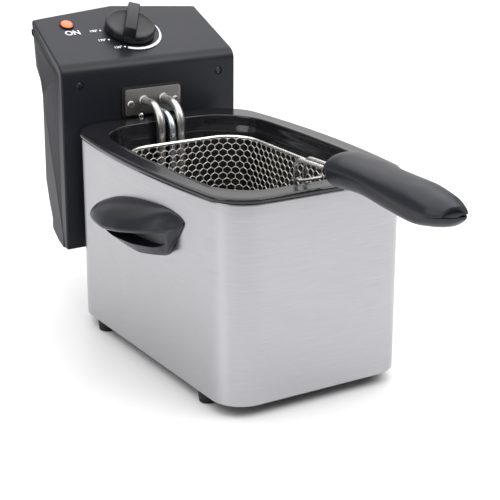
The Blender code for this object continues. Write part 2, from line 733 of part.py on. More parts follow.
def make_element():
    """Tubular heating element: two legs out of the unit, over the rim, down and round the bowl's bottom."""
    spread = 38 * MM
    front = -62 * MM
    rear = 62 * MM
    terminal = 150 * MM
    leg = [
        (TUBE_X, terminal, TUBE_EXIT_Z),
        (TUBE_X, TUBE_DROP_Y, TUBE_EXIT_Z),
        (TUBE_X, TUBE_DROP_Y, ELEMENT_Z),
        (TUBE_X, rear, ELEMENT_Z),
        (spread, rear - 18 * MM, ELEMENT_Z),
        (spread, front, ELEMENT_Z),
    ]
    right = [Vector(point) for point in rounded_path(leg[:3] + [leg[3]], TUBE_BEND)][:-1]
    right += rounded_path([leg[3], leg[4], leg[5]], 12 * MM, 3)
    u_turn = [
        Vector((spread * math.cos(a), front - spread * 0.55 * math.sin(a), ELEMENT_Z))
        for a in (math.radians(180 * k / 10) for k in range(1, 10))
    ]
    left = [Vector((-p.x, p.y, p.z)) for p in reversed(right)]
    mesh = tube_mesh("heating_element", right + u_turn + left, TUBE_RADIUS, 2)
    add_object("heating_element", mesh, "steel", angle=60)

    sensor = rounded_path(
        [
            (SENSOR_X, 148 * MM, SENSOR_Z),
            (SENSOR_X, TUBE_DROP_Y - 0.5 * MM, SENSOR_Z),
            (SENSOR_X, TUBE_DROP_Y - 0.5 * MM, 45 * MM),
        ],
        14 * MM,
    )
    add_object("sensor_tube", tube_mesh("sensor_tube", sensor, SENSOR_RADIUS, 2), "chrome", angle=60)


def make_interlock():
    """Sprung steel pin that the bowl's rim holds, with the switch behind it."""
    profile = [
        (0.3 * MM, -3.4 * MM),
        (1.7 * MM, -3.0 * MM),
        (PIN_RADIUS, -1.8 * MM),
        (PIN_RADIUS, 1.6 * MM),
        (1.6 * MM, 1.7 * MM),
        (1.6 * MM, 14 * MM),
        (0.3 * MM, 14 * MM),
    ]
    mesh = turned_mesh("interlock_pin", profile, 16)
    place = (PIN_X, UNIT_FRONT - 0.4 * MM, PIN_Z)
    add_object("interlock_pin", mesh, "chrome", location=place, rotation=(math.radians(-90), 0, 0))
    low = (PIN_X - 10 * MM, UNIT_FRONT + 17.5 * MM, PIN_Z - 12 * MM)
    high = (PIN_X + 6 * MM, UNIT_FRONT + 34 * MM, PIN_Z + 3 * MM)
    add_object("microswitch", box_mesh("microswitch", low, high), "black_plastic")


def make_knob():
    """Round thermostat knob with a raised grip bar, its shaft and the thermostat under the panel."""
    knob = add_object("control_knob", turned_mesh("control_knob", [
        (0.2 * MM, 0.5 * MM),
        (21.6 * MM, 0.5 * MM),
        (21.4 * MM, 6.6 * MM),
        (20.2 * MM, 8.0 * MM),
        (0.2 * MM, 6.6 * MM),
    ], 32), "black_plastic", parent=PANEL)
    bar = loft_mesh("knob_bar", [
        [(-5.6 * MM, -21.0 * MM, z), (5.6 * MM, -21.0 * MM, z), (5.6 * MM, 21.0 * MM, z), (-5.6 * MM, 21.0 * MM, z)]
        if z < 12 * MM
        else [(-5 * MM, -20.8 * MM, z - 1 * MM), (5 * MM, -20.8 * MM, z - 1 * MM), (5 * MM, 19.4 * MM, z), (-5 * MM, 19.4 * MM, z)]
        for z in (1.2 * MM, 8 * MM, 17 * MM)
    ])
    turn = (0, 0, KNOB_POINTER + math.radians(90))
    boolean(knob, add_cutter("knob_bar", bar, parent=PANEL, rotation=turn), "UNION")
    bore = round_mesh("knob_bore", 3.3 * MM, 3.3 * MM, -2 * MM, 11 * MM, 16)
    boolean(knob, add_cutter("knob_bore", bore, parent=PANEL))
    shaft = round_mesh("knob_shaft", 3.0 * MM, 3.0 * MM, -7.4 * MM, 10.6 * MM, 16)
    add_object("knob_shaft", shaft, "brass", parent=PANEL)
    body = round_mesh("thermostat", 14 * MM, 14 * MM, -22 * MM, -7.7 * MM, 20)
    add_object("thermostat", body, "white_ceramic", parent=PANEL)


KNOB_POINTER = math.radians(240)


def make_lamp():
    """Power lamp: a domed lens in the panel with its neon lamp behind."""
    profile = [
        (0.3 * MM, -3.2 * MM),
        (4.8 * MM, -3.2 * MM),
        (4.8 * MM, 0.3 * MM),
        (6.2 * MM, 0.3 * MM),
        (5.9 * MM, 1.2 * MM),
        (3.6 * MM, 2.6 * MM),
        (0.3 * MM, 3.0 * MM),
    ]
    lens = turned_mesh("indicator_lens", profile, 20)
    add_object("indicator_lens", lens, "lamp", parent=PANEL, location=(LAMP_X, LAMP_Y, 0))
    lamp = round_mesh("neon_lamp", 3.6 * MM, 3.6 * MM, -18 * MM, -3.6 * MM, 12)
    add_object("neon_lamp", lamp, "white_ceramic", parent=PANEL, location=(LAMP_X, LAMP_Y, 0))


def make_electrics():
    """Terminal block, thermal cut-out with its reset button, and the mains inlet bush."""
    add_object(
        "terminal_block", box_mesh("terminal_block", (12 * MM, 150 * MM, 128 * MM), (44 * MM, 162 * MM, 140 * MM)), "white_ceramic"
    )
    cutout = round_mesh("thermal_cutout", 9 * MM, 9 * MM, 0, 10 * MM, 16)
    place = {"location": (RESET_X, 160 * MM, RESET_Z), "rotation": (math.radians(-90), 0, 0)}
    add_object("thermal_cutout", cutout, "white_ceramic", **place)
    button = turned_mesh("reset_button", [
        (0.2 * MM, -9.6 * MM),
        (2.2 * MM, -9.6 * MM),
        (2.2 * MM, -4 * MM),
        (3.9 * MM, -3.6 * MM),
        (3.9 * MM, 0.6 * MM),
        (3.2 * MM, 1.4 * MM),
        (0.2 * MM, 1.4 * MM),
    ], 16)
    place = {"location": (RESET_X, RESET_BACK, RESET_Z), "rotation": (math.radians(-90), 0, 0)}
    add_object("reset_button", button, "lamp", **place)
    rings = []
    for radius, depth in ((3.4, -12), (6.0, -12), (6.0, 1.4), (8.5, 1.4), (8.5, 3.2), (5.6, 6.5), (3.4, 6.5)):
        rings.append((radius * MM, depth * MM))
    segments = 20
    step = 2 * math.pi / segments
    turned = [[(r * math.cos(k * step), r * math.sin(k * step), z) for r, z in rings] for k in range(segments)]
    mesh = loft_mesh("cord_inlet", turned + [turned[0]], cap_start=False, cap_end=False)
    bm = bmesh.new()
    bm.from_mesh(mesh)
    bmesh.ops.remove_doubles(bm, verts=bm.verts, dist=0.00001)
    bmesh.ops.recalc_face_normals(bm, faces=bm.faces)
    bm.to_mesh(mesh)
    bm.free()
    place = {"location": (INLET_X, 181.8 * MM, INLET_Z), "rotation": (math.radians(-90), 0, 0)}
    add_object("cord_inlet", mesh, "rubber", **place)


# ---------------------------------------------------------------- basket


def basket_outline(z, inset=0, arc=5, straight=4):
    return outline(
        BASKET_HALF - inset,
        BASKET_FRONT + inset,
        BASKET_BACK - inset,
        BASKET_CORNER - inset * 0.5,
        BASKET_CORNER - inset * 0.5,
        0,
        0,
        z,
        arc,
        straight,
    )


def make_basket():
    """Basket body, rim wire, the hook that rests on the bowl's flange and the pivot bracket."""
    top = RIM_Z - RIM_RADIUS - GAP
    rings = [
        basket_outline(top, 0.6 * MM),
        basket_outline(90 * MM, 3 * MM),
        basket_outline(BASKET_FLOOR + 6 * MM, 6.5 * MM),
        basket_outline(BASKET_FLOOR + 1.2 * MM, 8.5 * MM),
        basket_outline(BASKET_FLOOR, 12 * MM),
    ]
    mesh = loft_mesh("basket_mesh", rings, cap_start=False, cap_end=True)
    bm = bmesh.new()
    bm.from_mesh(mesh)
    if sum(face.normal.z * face.calc_area() for face in bm.faces) > 0:
        bmesh.ops.reverse_faces(bm, faces=bm.faces)
    bm.to_mesh(mesh)
    bm.free()
    solidified(add_object("basket_mesh", mesh, "chrome", angle=50), 1.0 * MM)
    rim = tube_mesh("basket_rim_wire", basket_outline(RIM_Z), RIM_RADIUS, 1, cyclic=True)
    add_object("basket_rim_wire", rim, "chrome", angle=60)

    hook_x = 9.5 * MM
    wire = 1.2 * MM
    near = BASKET_FRONT - RIM_RADIUS - wire - GAP
    hook = rounded_path(
        [
            (-hook_x, near, RIM_Z - 6 * MM),
            (-hook_x, near, FLANGE_TOP + 2.1 * MM),
            (-hook_x, -118 * MM, FLANGE_TOP + 2.1 * MM),
            (hook_x, -118 * MM, FLANGE_TOP + 2.1 * MM),
            (hook_x, near, FLANGE_TOP + 2.1 * MM),
            (hook_x, near, RIM_Z - 6 * MM),
        ],
        3 * MM,
        3,
    )
    add_object("basket_hook", tube_mesh("basket_hook", hook, wire, 1), "chrome", angle=60)

    plate_y = PIVOT_Y - 2.7 * MM
    mesh = box_mesh("handle_bracket", (-9 * MM, plate_y - 0.5 * MM, 122 * MM), (9 * MM, plate_y + 0.5 * MM, 143.5 * MM))
    bracket = add_object("handle_bracket", mesh, "steel")
    sleeve = round_mesh("sleeve", 2.9 * MM, 2.9 * MM, -2.1 * MM, 2.1 * MM, 16)
    turn = (0, math.radians(90), 0)
    boolean(bracket, add_cutter("sleeve", sleeve, location=(0, PIVOT_Y, PIVOT_Z), rotation=turn), "UNION")
    web = box_mesh("web", (-2 * MM, plate_y, PIVOT_Z - 2 * MM), (2 * MM, PIVOT_Y - 1 * MM, PIVOT_Z + 2 * MM))
    boolean(bracket, add_cutter("web", web), "UNION")
    bore = round_mesh("sleeve_bore", 1.85 * MM, 1.85 * MM, -5 * MM, 5 * MM, 16)
    boolean(bracket, add_cutter("sleeve_bore", bore, location=(0, PIVOT_Y, PIVOT_Z), rotation=turn))


# Stations of the basket grip along Y: half-width, top, bottom and the height of the parting line.
GRIP_STATIONS = [
    (-136, 8.6, 176.5, 163.2, 169.8),
    (-138, 11.2, 178.8, 161.0, 171.0),
    (-142, 13.8, 181.4, 159.8, 172.4),
    (-149, 16.6, 185.2, 159.8, 173.8),
    (-160, 16.8, 186.2, 160.6, 175.0),
    (-175, 16.4, 186.2, 161.4, 175.4),
    (-205, 16.2, 185.0, 158.6, 172.6),
    (-232, 17.0, 184.6, 157.0, 169.5),
    (-252, 15.8, 181.4, 160.0, 169.3),
    (-264, 10.8, 178.0, 163.4, 170.3),
    (-270, 6.4, 175.8, 167.0, 171.0),
    (-273.5, 2.6, 174.2, 170.0, 172.0),
]


def grip_ring(station, upper, count=8):
    """Half of an oval section of the grip, above or below the parting line."""
    y, half, top, bottom, part = [value * MM for value in station]
    split = part + GAP / 2 if upper else part - GAP / 2
    height = (top - split) if upper else (bottom - split)
    ring = []
    for k in range(count + 1):
        angle = math.pi * k / count
        ring.append((half * math.cos(angle), y, split + height * math.sin(angle)))
    return ring


def make_grip():
    """Two-shell grip on the folding handle wire, held together by two screws from below."""
    pivot = Vector((0, PIVOT_Y, PIVOT_Z))
    leg = rounded_path(
        [
            (LEG_X, PIVOT_Y, PIVOT_Z),
            (LEG_X, PIVOT_Y - 1.5 * MM, 168.5 * MM),
            (LEG_X, -165 * MM, 170.5 * MM),
        ],
        9 * MM,
    )
    left = [Vector((-point.x, point.y, point.z)) for point in reversed(leg)]
    right = [Vector(point) for point in leg]
    across = [point - pivot for point in left + right]
    wire = tube_mesh("handle_wire", across, LEG_RADIUS, 2)
    add_object("handle_wire", wire, "chrome", location=pivot, angle=60)

    channel_points = [Vector((0, -112 * MM, 168.9 * MM)), Vector((0, -168 * MM, 170.7 * MM))]
    for name, upper in (("grip_upper", True), ("grip_lower", False)):
        mesh = loft_mesh(name, [grip_ring(station, upper) for station in GRIP_STATIONS])
        grip = add_object(name, mesh, "grip_plastic", angle=35)
        hollow = [
            shrink_ring(grip_ring(station, upper), 2.6 * MM, upper)
            for station in GRIP_STATIONS
            if -262 < station[0] < -170
        ]
        boolean(grip, add_cutter(f"{name}_hollow", loft_mesh("hollow", hollow)))
        for side, x in (("left", -LEG_X), ("right", LEG_X)):
            shifted = [point + Vector((x, 0, 0)) for point in channel_points]
            channel = tube_mesh("channel", shifted, LEG_RADIUS + 0.35 * MM, 2)
            boolean(grip, add_cutter(f"{name}_channel_{side}", channel))
        for index, (y, head) in enumerate(GRIP_SCREWS):
            boss = round_mesh("grip_boss", 3.4 * MM, 3.4 * MM, *grip_boss_span(y, upper), 12)
            if y < -170 * MM:
                boolean(grip, add_cutter(f"{name}_boss_{index}", boss, location=(0, y, 0)), "UNION")
            bore = round_mesh("grip_bore", 1.5 * MM, 1.5 * MM, 151 * MM, 179 * MM, 12)
            place = {"location": (0, y, 0), "rotation": (0, 0, math.radians(7))}
            boolean(grip, add_cutter(f"{name}_bore_{index}", bore, **place))
            if not upper:
                sink = round_mesh("grip_sink", 2.9 * MM, 2.9 * MM, 150 * MM, head + 2 * MM, 12)
                boolean(grip, add_cutter(f"{name}_sink_{index}", sink, **place))
    for name, (y, head) in zip(("grip_screw_front", "grip_screw_rear"), GRIP_SCREWS):
        profile = [
            (0.2 * MM, head),
            (2.5 * MM, head),
            (2.5 * MM, head + 1.8 * MM),
            (1.2 * MM, head + 1.8 * MM),
            (1.2 * MM, 177 * MM),
            (0.2 * MM, 177 * MM),
        ]
        add_object(name, turned_mesh(name, profile, 12), "steel", location=(0, y, 0))


GRIP_SCREWS = ((-166 * MM, 163.4 * MM), (-240 * MM, 160.2 * MM))  # place along Y and underside of the head


def shrink_ring(ring, wall, upper):
    """The same half section drawn in by the wall's thickness, and carried past the parting line."""
    low = min(point[2] for point in ring)
    high = max(point[2] for point in ring)
    half = max(abs(point[0]) for point in ring)
    shrunk = []
    for x, y, z in ring:
        inward = x * (half - wall) / half
        if upper:
            height = low - 1 * MM + (z - low) * (high - low - wall + 1 * MM) / (high - low)
        else:
            height = high + 1 * MM - (high - z) * (high - low - wall + 1 * MM) / (high - low)
        shrunk.append((inward, y, height))
    return shrunk


def grip_boss_span(y, upper):
    """Heights between which the screw boss stands in each shell."""
    part = 169.4 * MM
    return (part + GAP / 2, 184 * MM) if upper else (157.5 * MM, part - GAP / 2)


make_wrap()
make_base()
make_handles()
make_rim_seat()
make_guides()
make_bowl()
make_front_cover()
make_rear_cover()
make_plate()
make_element()
make_interlock()
make_knob()
make_lamp()
make_electrics()
make_basket()
make_grip()
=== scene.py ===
"""Looks of the deep fryer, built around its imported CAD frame. Lengths are metres, and -Y is the front."""

from math import copysign, cos, hypot, pi, radians, sin, tan

import bmesh
import bpy
import numpy as np
from mathutils import Matrix, Vector


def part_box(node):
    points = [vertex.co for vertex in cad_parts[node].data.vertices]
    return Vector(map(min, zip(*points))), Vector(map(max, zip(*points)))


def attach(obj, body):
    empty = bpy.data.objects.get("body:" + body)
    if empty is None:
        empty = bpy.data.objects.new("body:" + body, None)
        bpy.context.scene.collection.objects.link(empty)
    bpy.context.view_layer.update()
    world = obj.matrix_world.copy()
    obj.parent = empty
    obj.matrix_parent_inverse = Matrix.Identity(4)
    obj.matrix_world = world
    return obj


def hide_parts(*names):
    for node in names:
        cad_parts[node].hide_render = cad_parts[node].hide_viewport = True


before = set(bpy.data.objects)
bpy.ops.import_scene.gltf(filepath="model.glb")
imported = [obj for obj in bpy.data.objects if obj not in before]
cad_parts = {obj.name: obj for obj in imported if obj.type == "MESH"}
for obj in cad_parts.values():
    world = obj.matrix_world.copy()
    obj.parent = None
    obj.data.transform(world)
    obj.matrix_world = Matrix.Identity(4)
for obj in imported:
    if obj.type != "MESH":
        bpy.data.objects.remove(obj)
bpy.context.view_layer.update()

MM = 0.001
FOOT_HEIGHT = 9 * MM
SHIFT = Matrix.Translation((0, 34.85 * MM, FOOT_HEIGHT))  # from the wrap's bottom edge to the CAD frame
TO_FRONT = Matrix.Rotation(radians(-90), 4, "X")  # carries local Z to +Y
PANEL_SLOPE = radians(25)
DIAL_CENTRE = Vector((0, 168.9, 219.4)) * MM
PANEL = SHIFT @ Matrix.Translation(DIAL_CENTRE) @ Matrix.Rotation(PANEL_SLOPE, 4, "X")

# Steel wrap, in mm, as in the CAD.
WRAP_HEIGHT = 150
WRAP_HALF_BOTTOM = 77.7
WRAP_HALF_TOP = 75.5
WRAP_SIDE_BOW = 10.6
WRAP_END_BOW = 0.5
WRAP_FRONT = -125
WRAP_BACK = 126

# Control unit, in mm, as in the CAD. Places on its front face are (across, height).
UNIT_FRONT = 131.4
UNIT_HALF = 81.5
UNIT_TAPER = 4
UNIT_DEPTH = 63
UNIT_BACK_BOW = 10
PLATE_FRONT = 128.0
COVER_SCREW = (65.4, 185.3)
PLATE_SCREW = (21, 165.8)
TUBE_PLACE = (9.3, 168)
PIN_PLACE = (-10.8, 155.6)


# ---- node materials


def new_material(name):
    """A material with its Principled shader, ready for sockets and textures."""
    made = bpy.data.materials.new(name)
    made.use_nodes = True
    return made, made.node_tree, made.node_tree.nodes["Principled BSDF"]


def feed(tree, shader, socket, source):
    """Joins a texture to one of the shader's sockets."""
    tree.links.new(source, shader.inputs[socket])


def add_noise(tree, scale, detail, roughness=0.55, stretch=(1, 1, 1)):
    """A noise texture in object space, stretched along the axes."""
    coords = tree.nodes.new("ShaderNodeTexCoord")
    mapping = tree.nodes.new("ShaderNodeMapping")
    mapping.inputs["Scale"].default_value = stretch
    noise = tree.nodes.new("ShaderNodeTexNoise")
    noise.inputs["Scale"].default_value = scale
    noise.inputs["Detail"].default_value = detail
    noise.inputs["Roughness"].default_value = roughness
    tree.links.new(coords.outputs["Object"], mapping.inputs["Vector"])
    tree.links.new(mapping.outputs["Vector"], noise.inputs["Vector"])
    return noise.outputs["Fac"]


def remap(tree, noise, low, high):
    """A noise, which keeps to about 0.3 to 0.7, carried to another range."""
    node = tree.nodes.new("ShaderNodeMapRange")
    for socket, value in (("From Min", 0.3), ("From Max", 0.7), ("To Min", low), ("To Max", high)):
        node.inputs[socket].default_value = value
    tree.links.new(noise, node.inputs["Value"])
    return node.outputs["Result"]


def tint(tree, shader, factor, first, second):
    """Base colour between two tones."""
    node = tree.nodes.new("ShaderNodeMix")
    node.data_type = "RGBA"
    node.inputs["A"].default_value = (*first, 1)
    node.inputs["B"].default_value = (*second, 1)
    tree.links.new(factor, node.inputs["Factor"])
    feed(tree, shader, "Base Color", node.outputs["Result"])


def add_bump(tree, shader, height, strength, distance):
    """Bump from a height, joined to the shader."""
    node = tree.nodes.new("ShaderNodeBump")
    node.inputs["Strength"].default_value = strength
    node.inputs["Distance"].default_value = distance
    tree.links.new(height, node.inputs["Height"])
    tree.links.new(node.outputs["Normal"], shader.inputs["Normal"])


def plastic(name, colour, rough_low, rough_high, grain=2600, depth=0.25, gloss=0.3):
    """Moulded plastic with a fine spark-eroded grain and faint handling marks."""
    made, tree, shader = new_material(name)
    patches = add_noise(tree, 14, 5)
    lighter = tuple(min(1, channel * 1.18) for channel in colour)
    tint(tree, shader, patches, colour, lighter)
    feed(tree, shader, "Roughness", remap(tree, patches, rough_low, rough_high))
    shader.inputs["Specular IOR Level"].default_value = gloss
    add_bump(tree, shader, add_noise(tree, grain, 2), depth, 0.06 * MM)
    return made


def metal(name, colour, darker, roughness, scale, depth, stretch=(1, 1, 1), anisotropy=0.0):
    """Metal whose tone and roughness vary with a noise that may be stretched into brush lines."""
    rough_low, rough_high = roughness
    made, tree, shader = new_material(name)
    shader.inputs["Metallic"].default_value = 1
    shader.inputs["Anisotropic"].default_value = anisotropy
    lines = add_noise(tree, scale, 6, 0.6, stretch)
    tint(tree, shader, remap(tree, lines, 0, 1), darker, colour)
    feed(tree, shader, "Roughness", remap(tree, lines, rough_high, rough_low))
    add_bump(tree, shader, lines, depth, 0.05 * MM)
    return made


BRUSH = (0.02, 0.02, 1.0)  # noise drawn out round the wrap, fine up its height
STEEL = metal(
    "brushed_steel", (0.455, 0.455, 0.47), (0.41, 0.41, 0.425), (0.27, 0.35), 2600, 0.06, BRUSH, 0.3
)
PLATE_STEEL = metal(
    "plate_steel", (0.40, 0.39, 0.38), (0.28, 0.27, 0.265), (0.26, 0.38), 1400, 0.15, (1, 1, 0.02)
)
TUBE_STEEL = metal("tube_steel", (0.55, 0.54, 0.53), (0.42, 0.41, 0.40), (0.26, 0.38), 160, 0.06)
SENSOR_STEEL = metal("sensor_steel", (0.60, 0.65, 0.69), (0.48, 0.52, 0.56), (0.20, 0.32), 160, 0.05)
CHROME = metal("chromed_wire", (0.93, 0.92, 0.90), (0.80, 0.79, 0.77), (0.18, 0.30), 300, 0.04)
NETTING = metal("netting_wire", (1.0, 0.97, 0.90), (0.88, 0.84, 0.76), (0.34, 0.46), 300, 0.04)
# Screw steel darkened almost to black: painted shade for screws that sit in recesses and in the shade of the
# side handles.
SHADED_SCREW_STEEL = metal("screw_steel_painted_shade", (0.10, 0.10, 0.11), (0.05, 0.05, 0.055), (0.30, 0.45), 900, 0.1)
SCREW_STEEL = metal("screw_steel", (0.62, 0.61, 0.60), (0.42, 0.41, 0.40), (0.24, 0.40), 900, 0.1)
BRASS = metal("turned_brass", (0.78, 0.57, 0.25), (0.60, 0.42, 0.18), (0.25, 0.38), 700, 0.1, (1, 1, 0.1))
BOX_PLASTIC = plastic("control_plastic", (0.0105, 0.0112, 0.0165), 0.31, 0.39)
GRIP_PLASTIC = plastic("grip_plastic", (0.0125, 0.0132, 0.019), 0.28, 0.38, 2200, 0.3, 0.34)
KNOB_PLASTIC = plastic("knob_plastic", (0.0085, 0.009, 0.011), 0.30, 0.38, 3000, 0.2)
SEAT_PLASTIC = plastic("seat_plastic", (0.012, 0.012, 0.014), 0.45, 0.6)
RUBBER = plastic("foot_rubber", (0.014, 0.014, 0.015), 0.6, 0.8, 1800, 0.5)
RESET_PLASTIC = plastic("reset_plastic", (0.45, 0.03, 0.015), 0.35, 0.45, 1500, 0.3)
CERAMIC = plastic("ceramic", (0.80, 0.79, 0.75), 0.5, 0.65, 1500, 0.3)


def make_enamel():
    """Glossy black enamel with a slight orange peel."""
    made, tree, shader = new_material("black_enamel")
    tone = add_noise(tree, 40, 3)
    tint(tree, shader, tone, (0.008, 0.008, 0.010), (0.014, 0.014, 0.017))
    feed(tree, shader, "Roughness", remap(tree, tone, 0.10, 0.17))
    shader.inputs["Specular IOR Level"].default_value = 0.5
    add_bump(tree, shader, add_noise(tree, 420, 2), 0.05, 0.1 * MM)
    return made


def make_print():
    """White printed marks, slightly uneven."""
    made, tree, shader = new_material("white_print")
    tone = add_noise(tree, 900, 3)
    tint(tree, shader, tone, (0.78, 0.78, 0.80), (0.9, 0.9, 0.92))
    shader.inputs["Roughness"].default_value = 0.5
    return made


def make_lamp_glow():
    """Orange-red lens, lit from inside and brightest in the middle."""
    made, tree, shader = new_material("lamp_glow")
    facing = tree.nodes.new("ShaderNodeLayerWeight")
    facing.inputs["Blend"].default_value = 0.35
    ramp = tree.nodes.new("ShaderNodeValToRGB")
    ramp.color_ramp.elements[0].color = (1.0, 0.24, 0.06, 1)
    ramp.color_ramp.elements[1].color = (0.55, 0.02, 0.01, 1)
    ramp.color_ramp.elements[1].position = 0.75
    tree.links.new(facing.outputs["Facing"], ramp.inputs["Fac"])
    feed(tree, shader, "Emission Color", ramp.outputs["Color"])
    shader.inputs["Emission Strength"].default_value = 0.8
    speckle = add_noise(tree, 700, 3)
    tint(tree, shader, speckle, (0.85, 0.07, 0.02), (1.0, 0.16, 0.05))
    shader.inputs["Roughness"].default_value = 0.12
    shader.inputs["Coat Weight"].default_value = 0.6
    return made


ENAMEL = make_enamel()
PRINT = make_print()
LAMP_GLOW = make_lamp_glow()


# ---- geometry helpers


def add_object(name, data):
    """A new object in the scene."""
    made = bpy.data.objects.new(name, data)
    bpy.context.scene.collection.objects.link(made)
    return made


def take_mesh(holder):
    """The holder's mesh after its modifiers. The holder itself goes."""
    graph = bpy.context.evaluated_depsgraph_get()
    result = bpy.data.meshes.new_from_object(holder.evaluated_get(graph))
    bpy.data.objects.remove(holder, do_unlink=True)
    return result


def make_piece(name, mesh, material, body, replaces=(), place=SHIFT, angle=35, weighted=False):
    """A finished piece: placed in the row frame, shaded, given its material, and riding on its body."""
    mesh.transform(place)
    mesh.materials.clear()
    mesh.materials.append(material)
    mesh.shade_smooth()
    mesh.set_sharp_from_angle(angle=radians(angle))
    mesh.update()
    piece = add_object(name, mesh)
    if weighted:
        normals = piece.modifiers.new("weighted_normals", "WEIGHTED_NORMAL")
        normals.keep_sharp = True
    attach(piece, body)
    if replaces:
        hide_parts(*replaces)
    return piece


def mesh_from(bm, name):
    """The finished bmesh as a mesh."""
    mesh = bpy.data.meshes.new(name)
    bm.to_mesh(mesh)
    bm.free()
    return mesh


def loft(name, rings, cap_start=True, close_loop=False):
    """Capped skin through rings of as many points each. close_loop joins the last ring to the first."""
    bm = bmesh.new()
    loops = [[bm.verts.new(point) for point in ring] for ring in rings]
    pairs = list(zip(loops, loops[1:]))
    if close_loop:
        pairs.append((loops[-1], loops[0]))
    count = len(loops[0])
    for lower, upper in pairs:
        for i in range(count):
            j = (i + 1) % count
            bm.faces.new((lower[i], lower[j], upper[j], upper[i]))
    if cap_start and not close_loop:
        bm.faces.new(list(reversed(loops[0])))
    if not close_loop:
        bm.faces.new(loops[-1])
    bmesh.ops.recalc_face_normals(bm, faces=bm.faces)
    return mesh_from(bm, name)


def turned(name, profile, segments=48):
    """Solid of revolution about local Z through (radius, height) points, closed on the axis."""
    step = 2 * pi / segments
    rings = [
        [(r * cos(k * step), r * sin(k * step), z) for k in range(segments)]
        for r, z in ((max(r, 0.02) * MM, z * MM) for r, z in profile)
    ]
    return loft(name, rings)


def ring_of_revolution(name, profile, segments=48):
    """Solid of revolution with an open bore: the profile is a closed loop of (radius, height)."""
    step = 2 * pi / segments
    rings = [
        [(r * MM * cos(k * step), r * MM * sin(k * step), z * MM) for r, z in profile]
        for k in range(segments)
    ]
    return loft(name, rings, close_loop=True)


def tube(name, points, radius, sides=16, cyclic=False):
    """Round wire or tube along points, with frames carried along the path so that it never twists."""
    points = [Vector(point) for point in points]
    count = len(points)
    rings = []
    normal = None
    for index, point in enumerate(points):
        before = points[index - 1] if index or cyclic else point
        after = points[(index + 1) % count] if index < count - 1 or cyclic else point
        tangent = (after - before).normalized()
        if normal is None:
            helper = Vector((0, 0, 1)) if abs(tangent.z) < 0.9 else Vector((1, 0, 0))
            normal = tangent.cross(helper).normalized()
        normal = (normal - tangent * normal.dot(tangent)).normalized()
        side = tangent.cross(normal)
        rings.append([
            point + (normal * cos(a) + side * sin(a)) * radius
            for a in (2 * pi * k / sides for k in range(sides))
        ])
    return loft(name, rings, close_loop=cyclic)


def in_mm(points):
    """Vectors in metres from points in mm."""
    return [Vector(point) * MM for point in points]


def rounded_path(corners, radius, steps):
    """Straight runs joined by arcs of this radius at each inner corner."""
    corners = [Vector(corner) for corner in corners]
    radii = radius if isinstance(radius, (list, tuple)) else [radius] * (len(corners) - 2)
    path = [corners[0]]
    for before, corner, after, bend in zip(corners, corners[1:], corners[2:], radii):
        inward = (before - corner).normalized()
        outward = (after - corner).normalized()
        half_turn = inward.angle(outward) / 2
        reach = bend / tan(half_turn)
        centre = corner + (inward + outward).normalized() * (bend / sin(half_turn))
        start = (corner + inward * reach - centre).normalized()
        end = (corner + outward * reach - centre).normalized()
        for step in range(steps + 1):
            path.append(centre + start.slerp(end, step / steps) * bend)
    path.append(corners[-1])
    return path


def joined(name, meshes):
    """Several meshes as one."""
    bm = bmesh.new()
    for mesh in meshes:
        bm.from_mesh(mesh)
    return mesh_from(bm, name)


def moved(mesh, matrix):
    """The mesh, moved by the matrix."""
    mesh.transform(matrix)
    return mesh


def cut(mesh, cutters, operation="DIFFERENCE"):
    """The mesh after exact Booleans with the cutters."""
    holder = add_object("cut_holder", mesh)
    helpers = [add_object(f"cut_helper_{index}", cutter) for index, cutter in enumerate(cutters)]
    for helper in helpers:
        modifier = holder.modifiers.new("cut", "BOOLEAN")
        modifier.object = helper
        modifier.operation = operation
        modifier.solver = "EXACT"
    result = take_mesh(holder)
    for helper in helpers:
        bpy.data.objects.remove(helper, do_unlink=True)
    return result


def bevelled(mesh, width, segments=3, angle=30):
    """The mesh with its sharp edges rounded."""
    holder = add_object("bevel_holder", mesh)
    modifier = holder.modifiers.new("bevel", "BEVEL")
    modifier.width = width
    modifier.segments = segments
    modifier.limit_method = "ANGLE"
    modifier.angle_limit = radians(angle)
    modifier.use_clamp_overlap = True
    return take_mesh(holder)


def box(name, low, high):
    """Box between two corners."""
    bm = bmesh.new()
    bmesh.ops.create_cube(bm, size=1)
    size = [b - a for a, b in zip(low, high)]
    centre = [(a + b) / 2 for a, b in zip(low, high)]
    bmesh.ops.scale(bm, vec=size, verts=bm.verts)
    bmesh.ops.translate(bm, vec=centre, verts=bm.verts)
    return mesh_from(bm, name)


def facing_front(x, y, z):
    """Place at this point, in mm, of a turned piece whose local Z runs to +Y."""
    return Matrix.Translation((x * MM, y * MM, z * MM)) @ TO_FRONT


def monotone(knots, values, at):
    """Smooth interpolation that never overshoots its knots (Fritsch-Carlson cubic)."""
    knots, values, at = np.asarray(knots, float), np.asarray(values, float), np.asarray(at, float)
    width = np.diff(knots)
    slope = np.diff(values) / width
    tangent = np.zeros_like(values)
    same = slope[:-1] * slope[1:] > 0
    weight_a, weight_b = 2 * width[1:] + width[:-1], width[1:] + 2 * width[:-1]
    inner = np.zeros(len(values) - 2)
    total = weight_a[same] / slope[:-1][same] + weight_b[same] / slope[1:][same]
    inner[same] = (weight_a + weight_b)[same] / total
    tangent[1:-1] = inner
    tangent[0], tangent[-1] = slope[0], slope[-1]
    cell = np.clip(np.searchsorted(knots, at) - 1, 0, len(width) - 1)
    t = (at - knots[cell]) / width[cell]
    return (
        values[cell] * (1 + 2 * t) * (1 - t) ** 2
        + tangent[cell] * width[cell] * t * (1 - t) ** 2
        + values[cell + 1] * t * t * (3 - 2 * t)
        + tangent[cell + 1] * width[cell] * t * t * (t - 1)
    )


